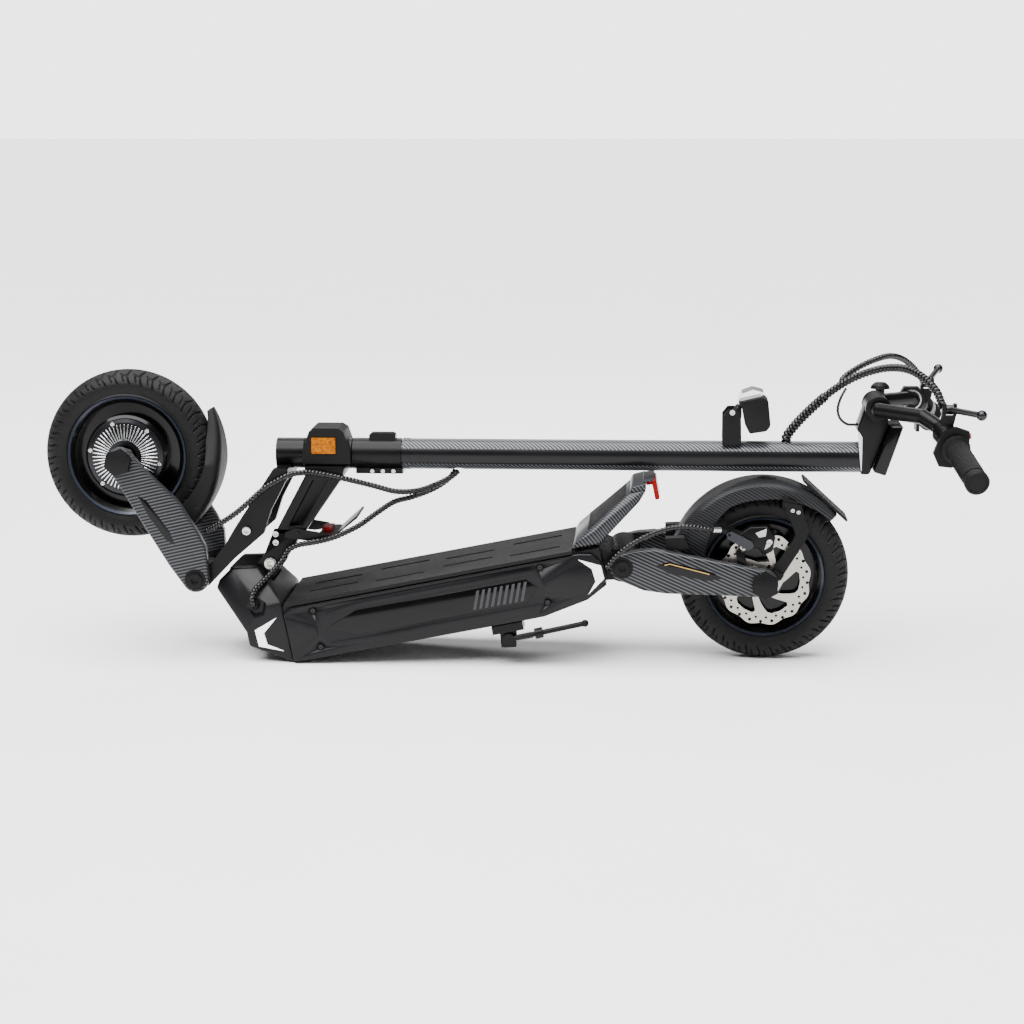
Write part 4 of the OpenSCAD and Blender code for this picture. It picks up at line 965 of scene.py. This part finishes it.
# a closed tube whose radius may change with the distance along it and the angle round it
def sweptTube(name, path, radiusAt, sides):
    rings, faces, gone = [], [], 0.0
    normal = Vector((0.13, 0.91, 0.39))
    for i, point in enumerate(path):
        tangent = (path[min(i + 1, len(path) - 1)] - path[max(i - 1, 0)]).normalized()
        normal = (normal - tangent * normal.dot(tangent)).normalized()
        other = tangent.cross(normal)
        if i:
            gone += (point - path[i - 1]).length
        for k in range(sides):
            a = 2 * math.pi * k / sides
            rings.append(point + (normal * math.cos(a) + other * math.sin(a)) * radiusAt(gone, a))
    for i in range(len(path) - 1):
        for k in range(sides):
            n = (k + 1) % sides
            faces.append((i * sides + k, i * sides + n, (i + 1) * sides + n, (i + 1) * sides + k))
    faces.append(tuple(range(sides - 1, -1, -1)))
    faces.append(tuple((len(path) - 1) * sides + k for k in range(sides)))
    mesh = bpy.data.meshes.new(name)
    mesh.from_pydata([tuple(v) for v in rings], [], faces)
    piece = bpy.data.objects.new(name, mesh)
    bpy.context.scene.collection.objects.link(piece)
    useOnly(piece)
    bpy.ops.object.shade_smooth_by_angle(angle=math.radians(50))
    return piece


for name, cable in cableRoutes.items():
    points = [Vector((x, y * cable["side"], z)) * mm for x, y, z in cable["points"]]
    radius = cable["radius"] * mm
    pitch = 0.0052 + radius * 0.1

    sleeve = 0.1 if name == "loomWrap" else 1.0  # the loom's lower part is in a thicker sleeve

    def wrapRadius(gone, a, radius=radius, pitch=pitch, sleeve=sleeve):
        ridge = abs(math.sin(math.pi * gone / pitch + a / 2))
        slim = 1.0 if gone < sleeve else 0.8
        return radius * slim * (0.7 + 0.3 * min(1.0, ridge * 1.25))

    tube = sweptTube(name, smoothPath(points, 0.0007), wrapRadius, 16)
    placed = stemFrame if cable["frame"] == "stem" else deckFrame
    settle(tube, name, cable["body"], paint["cableWrap"], placed,
           [cable["node"]] if cable["node"] else [])
print("cables:", len(cableRoutes))


# nose casting: two hulls with the neck's path cut out, and a pocket round the cable's boot
nose = {"half": 56, "shoulderHalf": 87.9, "bodyHalf": 87.8, "neckHalf": 40.5, "foldPin": (-773, 117),
        "pinRadius": 20,
        "top": [(-811, 141), (-804, 152), (-781, 167), (-742, 161), (-782, 102)],
        "shoulder": [(-774, 72), (-742, 104), (-712, 106), (-712, 60), (-760, 60)],
        "body": [(-774, 50), (-774, 74), (-742, 104), (-712, 106), (-712, 13), (-736, 28)],
        "sweep": [(13, -15), (90, 54), (90, 110), (-90, 110), (-78, 68), (-16, -12)],
        "pocket": [(-783, 122), (-770, 139), (-752, 132), (-734, 110), (-742, 92), (-756, 90)]}
top = slabPoints(nose["top"], -nose["half"], nose["half"])
shoulder = slabPoints(nose["shoulder"], -nose["shoulderHalf"], nose["shoulderHalf"])
casting = hullSolid(top + shoulder, 0.0035)
combine(casting, hullSolid(slabPoints(nose["body"], -nose["bodyHalf"], nose["bodyHalf"]), 0.0035), "UNION")
foldX, foldZ = nose["foldPin"]
sweep = [(x + foldX, z + foldZ) for x, z in nose["sweep"]]
combine(casting, outlineSolid(sweep, -nose["neckHalf"], nose["neckHalf"], 0))
combine(casting, pins([nose["foldPin"]], nose["pinRadius"], -nose["neckHalf"], nose["neckHalf"], 48))
pocket = hullSolid(slabPoints(nose["pocket"], -110, -88)
                   + [(x * 0.75 - 189, -79, z * 0.75 + 28) for x, z in nose["pocket"]], 0)
combine(casting, joinPieces([pocket, mirrored(pocket)]))
settle(casting, "noseCasting", "deck", paint["deckPaint"], deckFrame, ["front_casting"])
boot = turnedSolid([(0.001, -78), (8, -78), (8, -82), (6.6, -84), (7, -85), (5.8, -87), (5.2, -89),
                    (0.001, -89)], 40)
boot.data.transform(Matrix.Translation((-0.7539, 0, 0.1099)))
settle(boot, "cableBoot", "deck", paint["softRubber"], deckFrame)
print("nose casting")

# side covers: bevelled body, end plates, two rails, a gloss middle panel and a band of slanted marks
cover = {"inner": 86.3, "skin": 94, "outer": 95.9,
         "body": [(-712, 16), (-690, 14), (-340, 14), (-262, 28), (-248, 34), (-228, 52), (-228, 74),
                  (-242, 94), (-262, 98), (-700, 98), (-712, 90)],
         "front": [(-710, 84), (-667, 63), (-667, 50), (-710, 34)],
         "rear": [(-321, 64), (-268, 85), (-250, 72), (-248, 54), (-266, 38), (-321, 51)],
         "topRail": [(-650, 78), (-600, 88), (-330, 88), (-330, 82), (-560, 82)],
         "lowRail": [(-650, 34), (-600, 24), (-360, 24), (-330, 34), (-560, 34)],
         "panel": [(-652, 57), (-604, 76), (-346, 76), (-330, 60), (-350, 40), (-610, 40)],
         "slash": [(-3.2, -14), (1.4, -14), (12, 14), (7.4, 14)],
         "screws": [(-667, 87), (-667, 31), (-321, 89), (-320, 35)]}
coverSkin = outlineSolid(cover["body"], -cover["skin"], -cover["inner"], 0.0022, 3)
for outline in ("front", "rear", "topRail", "lowRail"):
    plate = outlineSolid(cover[outline], -cover["outer"], -cover["skin"] + 0.6, 0)
    combine(coverSkin, plate, "UNION")
roundEdges(coverSkin, 0.0005, 2, 50)
combine(coverSkin, pins(cover["screws"], 4.4, -99, -90))
settle(joinPieces([coverSkin, mirrored(coverSkin)]), "sideCoverShells", "deck",
       paint["deckPaint"], deckFrame, ["side_covers"])
panel = outlineSolid(cover["panel"], -cover["skin"] - 0.9, -cover["skin"] + 0.4, 0.0006, 2)
settle(joinPieces([panel, mirrored(panel)]), "coverPanels", "deck", paint["glossBlack"],
       deckFrame)
slash = outlineSolid(cover["slash"], -cover["skin"] - 1.2, -cover["skin"] - 0.7, 0)
slashes = copyAt(slash, [(-428 + 9 * k, 0, 58) for k in range(9)])
settle(joinPieces([slashes, mirrored(slashes)]), "coverSlashes", "deck", paint["slashGrey"],
       deckFrame)
print("side covers")

# kickplate and the tail light behind its top
kick = {"foot": [(-270, 105.2), (-262, 114), (-232, 126), (-228, 105.2)],
        "top": [(-172, 168), (-146, 168), (-160, 152)],
        "footHollow": [(-232, 100), (-226, 118), (-206, 100)],
        "topHollow": [(-168, 150), (-162, 158), (-140, 140)],
        "lip": [(-172, 168.2), (-166, 176), (-146.2, 177), (-146.2, 168.2)],
        "eave": [(-150, 176.6), (-134, 176.4), (-132, 178.2), (-148, 179)],
        "padFoot": (-262, 68, 114.6), "padRun": (98, -14, 55.5), "padSpan": (0.2, 0.86),
        "padFaces": (-3, 2.4),
        "light": [(-145.5, 170), (-145.5, 176), (-130, 176), (-130, 146), (-137, 146), (-137, 170)]}
plate = hullSolid(slabPoints(kick["foot"], -83.9, 83.9) + slabPoints(kick["top"], -61.9, 61.9), 0.0025)
hollow = hullSolid(slabPoints(kick["footHollow"], -58, 58) + slabPoints(kick["topHollow"], -50, 50), 0)
combine(plate, hollow)
lip = outlineSolid(kick["lip"], -61.8, 61.8, 0.0018, 3)
eave = outlineSolid(kick["eave"], -44, 44, 0.0006, 2)
settle(joinPieces([plate, lip, eave]), "kickplateShell", "deck", paint["carbonPlate"],
       deckFrame, ["kickplate"])
footX, footY, footZ = kick["padFoot"]
runX, runY, runZ = kick["padRun"]
pad = hullSolid([(footX + runX * t, side * (footY + runY * t), footZ + runZ * t + rise)
                 for t in kick["padSpan"] for side in (-1, 1) for rise in kick["padFaces"]], 0.0012)
settle(pad, "kickplatePad", "deck", paint["matRubber"], deckFrame)
settle(outlineSolid(kick["light"], -33.9, 33.9, 0.0016, 3), "tailLightBlock", "deck",
       paint["redPrism"], deckFrame, ["tail_light"])
print("kickplate and tail light")

# brake disc: wavy ring with holes, six swept windows and bolts on its carrier
rotor = {"radius": 68.2, "wave": 1.7, "waves": 12, "y0": -48, "y1": -46, "bore": 15, "spokes": 6}


rim = []
for k in range(120):
    swell = rotor["wave"] * math.cos(math.radians(3 * k) * rotor["waves"])
    rim.append(polar(rotor["radius"] + swell, 3 * k))
disc = outlineSolid(rim, rotor["y0"], rotor["y1"], 0)
windows = []
for k in range(rotor["spokes"]):
    a = k * 360 / rotor["spokes"]
    swept = [(28, 2), (36, 12), (44, 20), (50, 25), (53, 32), (53.5, 46), (53, 60), (49, 64), (42, 59),
             (35, 51), (28.5, 40), (27, 22)]
    windows.append(outlineSolid([polar(r, a + turn) for r, turn in swept], -50, -44, 0))
combine(disc, joinPieces(windows))
holes = [polar(64.2, 15 * k) for k in range(24)] + [polar(58.2, 15 * k + 7.5) for k in range(24)]
combine(disc, pins(holes[:24], 2.5, -50, -44, 12))
combine(disc, pins(holes[24:], 1.9, -50, -44, 10))
combine(disc, pins([(0, 0)], rotor["bore"], -50, -44, 48))
settle(disc, "wavyBrakeDisc", "rear_wheel", paint["discSteel"], deckFrame, ["brake_disc"])
carrierBolt = boltHead(3.8, 1.8, 20, 1.7)
carrierPlaces = [(x, rotor["y0"], z) for x, z in (polar(22, 60 * k) for k in range(6))]
carrierBolts = copyAt(carrierBolt, carrierPlaces)
settle(carrierBolts, "discBolts", "rear_wheel", paint["zincSteel"], deckFrame)
print("brake disc")

# brake caliper: bevelled body round the disc, hanger, bright webs, pad bolts and adjuster
caliper = {"body": [(-30, 52), (-24, 76), (-6, 84), (20, 80), (28, 62), (20, 42), (6, 38), (0, 50),
                    (-18, 54)],
           "foot": [(-34, 25), (-20, 20), (-22, 48), (-34, 52)],
           "hanger": [(-20, 68), (-18, 80), (-52, 97), (-60, 90)],
           "webs": [[(-26, 62), (-14, 60), (-18, 72)], [(0, 74), (18, 77), (14, 66), (4, 66)],
                    [(8, 46), (18, 50), (22, 60), (12, 54)]]}
body = outlineSolid(caliper["body"], -59.8, -37.2, 0.0022, 3)
combine(body, turnedSolid([(0.001, -50.2), (73, -50.2), (73, -43.8), (0.001, -43.8)], 96))
foot = outlineSolid(caliper["foot"], -65.4, -54.2, 0.0015, 2)
hanger = outlineSolid(caliper["hanger"], -58.9, -55.1, 0.001, 2)
pot = turnedSolid([(0.001, -59), (10.5, -59), (10.5, -59.6), (9.2, -59.9), (0.001, -59.9)], 40)
pot.data.transform(Matrix.Translation((0.008, 0, 0.062)))
settle(joinPieces([body, foot, hanger, pot]), "caliperBody", "rear_arm", paint["satinBlack"],
       deckFrame, ["brake_caliper"])
webs = joinPieces([outlineSolid(outline, -60.2, -59.4, 0.0003, 1) for outline in caliper["webs"]])
settle(webs, "caliperWebs", "rear_arm", paint["castAlloy"], deckFrame)
padBolt = copyAt(boltHead(4.4, 2.6, 24, 2.2), [(-22, -59.8, 57), (18, -59.8, 57)])
settle(padBolt, "caliperBolts", "rear_arm", paint["zincSteel"], deckFrame)
ferrule = sweptTube("ferrule", [Vector((-0.061, -0.064, 0.0914)), Vector((-0.055, -0.0612, 0.0895)),
                                Vector((-0.05, -0.059, 0.088))], lambda gone, a: 0.0049, 20)
settle(ferrule, "cableFerrule", "rear_arm", paint["silverTrim"], deckFrame)
print("brake caliper")

# kickstand spring, coiled round the leg near its pivot
coil = {"start": -376, "end": -352, "height": -9.6, "side": -91, "radius": 4.6, "wire": 0.7, "turns": 10}
steps = coil["turns"] * 20
spiral = []
for k in range(steps + 1):
    a = 2 * math.pi * coil["turns"] * k / steps
    x = coil["start"] + (coil["end"] - coil["start"]) * k / steps
    spiral.append(Vector((x, coil["side"] + coil["radius"] * math.cos(a),
                          coil["height"] + coil["radius"] * math.sin(a))) * mm)
spring = sweptTube("spring", spiral, lambda gone, a: coil["wire"] * mm, 8)
settle(spring, "kickstandSpring", "kickstand_leg", paint["blackBolt"], deckFrame)
print("kickstand spring")

# stem head, display and headlight as bevelled castings
head = {"block": [(883.1, 140), (883.1, 200), (876, 206), (890, 248), (916, 248), (924, 214), (900, 150),
                  (896, 140)],
        "display": [(924.4, 213.8), (943.6, 214.6), (918.8, 140.4), (900.6, 146.2)],
        "lamp": [(707, 236), (700, 248), (734, 256), (745, 250), (749, 212), (743, 204), (718, 200),
                 (711, 214)],
        "arm": [(686, 225), (696, 214), (706, 224), (706, 238), (700, 240)],
        "edge": [(883.4, 146), (884.4, 146), (884.4, 196), (878.4, 205), (877.4, 205)]}
block = outlineSolid(head["block"], -23.9, 23.9, 0.0028, 3)
clamp = turnedSolid([(11.7, -36), (17.8, -36), (19, -34.8), (19, -27), (18.2, -26.4), (18.2, 26.4), (19, 27),
                     (19, 34.8), (17.8, 36), (11.7, 36)], 64)
clamp.data.transform(Matrix.Translation((0.906, 0, 0.24)))
spigot = turnedSolid([(0.001, 0), (19.4, 0), (19.4, 29), (22.6, 29.4), (22.6, 33), (0.001, 33)], 48)
spigot.data.transform(Matrix.Translation((0.853, 0, 0.163)) @ Matrix.Rotation(-math.pi / 2, 4, "Z"))
settle(joinPieces([block, clamp, spigot]), "stemHeadCasting", "steering", paint["satinBlack"],
       stemFrame, ["stem_head"])
settle(outlineSolid(head["display"], -37.9, 37.9, 0.0024, 3), "displayCase", "steering",
       paint["glossBlack"], stemFrame, ["display"])
edgeLine = outlineSolid(head["edge"], -24.2, -23.7, 0)
settle(edgeLine, "headEdgeLine", "steering", paint["silverTrim"], stemFrame)
ring = turnedSolid([(13.2, 99.6), (15.6, 99.6), (15.6, 100.4), (13.2, 100.4)], 64)
ring.data.transform(Matrix.Translation((0.968, 0, 0.236)))
settle(ring, "throttleRing", "steering", paint["silverTrim"], stemFrame)
case = outlineSolid(head["lamp"], -25.9, 25.9, 0.0026, 3)
tiltPin = pins([(692, 220)], 3, -24.9, 24.9)
tiltArm = outlineSolid(head["arm"], -19.4, 19.4, 0.0014, 2)
settle(joinPieces([case, tiltPin, tiltArm]), "headlightShell", "headlight",
       paint["mouldedBlack"], stemFrame, ["headlight_case"])
print("stem head, display and headlight")

# neck plates with rounded edges, and their bosses
neck = {"inner": 32, "outer": 39.9, "upper": [(-10, 12), (6, 52), (46, 52), (40, 34), (15, -4)],
        "lower": [(-52, -40), (-12, 11), (13, -10), (-26, -64)],
        "mast": [(6, 44), (54, 134), (54, 148), (112, 148), (112, 134), (50, 44)],
        "recess": [(29, 58), (66, 128), (88, 128), (48, 58)]}
side = outlineSolid(neck["upper"], -neck["outer"], -neck["inner"], 0)
combine(side, outlineSolid(neck["lower"], -neck["outer"], -neck["inner"], 0), "UNION")
combine(side, pins([(0, 0)], 16, -neck["outer"], -neck["inner"], 48), "UNION")
roundEdges(side, 0.0012, 2, 40)
mast = outlineSolid(neck["mast"], -neck["outer"], neck["outer"], 0)
recess = outlineSolid(neck["recess"], -60, -22, 0)
combine(mast, joinPieces([recess, mirrored(recess)]))
roundEdges(mast, 0.0016, 2, 40)
boss = turnedSolid([(6.1, -39.9), (16.8, -39.9), (18, -38.7), (18, 38.7), (16.8, 39.9), (6.1, 39.9)], 56)
boss.data.transform(Matrix.Translation((-0.039, 0, -0.052)))
sleeve = turnedSolid([(19, 50), (22.3, 50), (23.4, 51.2), (23.4, 121.8), (22.3, 123), (19, 123)], 64)
sleeve.data.transform(Matrix.Translation((0, 0, 0.163)) @ Matrix.Rotation(-math.pi / 2, 4, "Z"))
settle(joinPieces([side, mirrored(side), mast, boss, sleeve]), "neckCasting", "neck",
       paint["satinBlack"], stemFrame, ["neck_frame"])
print("neck casting")


# socket heads on the pins and bolts that show
boltHeads = {
    "neckBolts": dict(body="neck", places=[(9, -43.5, 46), (9, -43.5, 33)], radius=4.6, placed=stemFrame),
    "linkBolts": dict(body="neck", places=[(0, -44.9, 0)], radius=8.4, placed=stemFrame),
    "foldPinHeads": dict(body="deck", places=[(-773, -66, 117)], radius=7.6, placed=deckFrame),
    "forkBolts": dict(body="steering", places=[(-31, -68, 55)], radius=6.4, placed=stemFrame),
    "mudguardBolts": dict(body="rear_arm", places=[(60, -59, 97), (68, -59, 93)], radius=3, placed=deckFrame),
}


def socketHeads(name, body, places, radius, placed):
    heads = copyAt(boltHead(radius, 1.8, 24, radius * 0.5), places)
    settle(joinPieces([heads, mirrored(heads)]), name, body, paint["zincSteel"], placed)


for name, heads in boltHeads.items():
    socketHeads(name, **heads)
print("socket heads")

# grips: ribbed sleeve with a flange, a band and a recessed end
grip = {"root": (1001, 170, 207), "tip": (1018, 300, 176), "length": 124, "radius": 16.5, "ribs": 36}


def makeGrip():
    length, radius = grip["length"], grip["radius"]
    profile = [(11.3, 0), (19.4, 0), (20.4, 1.2), (20.4, 3.2), (19, 4.4), (radius - 0.3, 6)]
    body = [(radius - 0.3, 6 + (length - 22) * k / 24) for k in range(1, 25)]
    end = [(radius - 2.2, length - 15), (radius - 2.2, length - 11.5), (radius, length - 11),
           (radius + 0.7, length - 9), (radius + 0.9, length), (radius - 0.6, length + 2.6),
           (radius - 3, length + 2.9), (radius - 4, length + 1.6), (0.01, length + 1.6),
           (0.01, length + 0.4), (11.3, length + 0.4)]
    piece = turnedSolid(profile + body + end, 144)
    for vertex in piece.data.vertices:
        x, y, z = vertex.co
        r = math.hypot(x, z)
        if 0.0075 < y < (length - 16.5) * mm and abs(r - (radius - 0.3) * mm) < 0.0002:
            a = math.atan2(z, x)
            panel = 1.0 if (y / mm) % 34 > 3 else 0.2
            rib = 0.5 + 0.5 * math.sin(a * grip["ribs"])
            push = (rib - 0.45) * 1.1 * mm * panel
            vertex.co = (x * (r + push) / r, y, z * (r + push) / r)
    root, tip = Vector(grip["root"]), Vector(grip["tip"])
    direction = (tip - root).normalized()
    start = (tip - direction * length) * mm
    turn = Vector((0, 1, 0)).rotation_difference(direction).to_matrix().to_4x4()
    piece.data.transform(Matrix.Translation(start) @ turn)
    return piece


rightGrip = makeGrip()
settle(joinPieces([rightGrip, mirrored(rightGrip)]), "ribbedGrips", "steering",
       paint["softRubber"], stemFrame, ["grips"])
print("grips")

# floor
deselectAll()
bpy.ops.mesh.primitive_plane_add(size=60, location=(0, 0, -0.0005))
floor = bpy.context.object
floor.name = "studioFloor"
floorPaint, floorTree, floorShader, floorCoords = startMaterial("floorPaint", 0.0, 0.5)
floorNoise = addNode(floorTree, "ShaderNodeTexNoise", Vector=floorCoords, Scale=3.0)
floorTree.links.new(blendColours(floorTree, floorNoise.outputs[0], (0.8, 0.8, 0.8), (0.84, 0.84, 0.84)),
                    floorShader.inputs["Base Color"])
floor.data.materials.append(floorPaint)
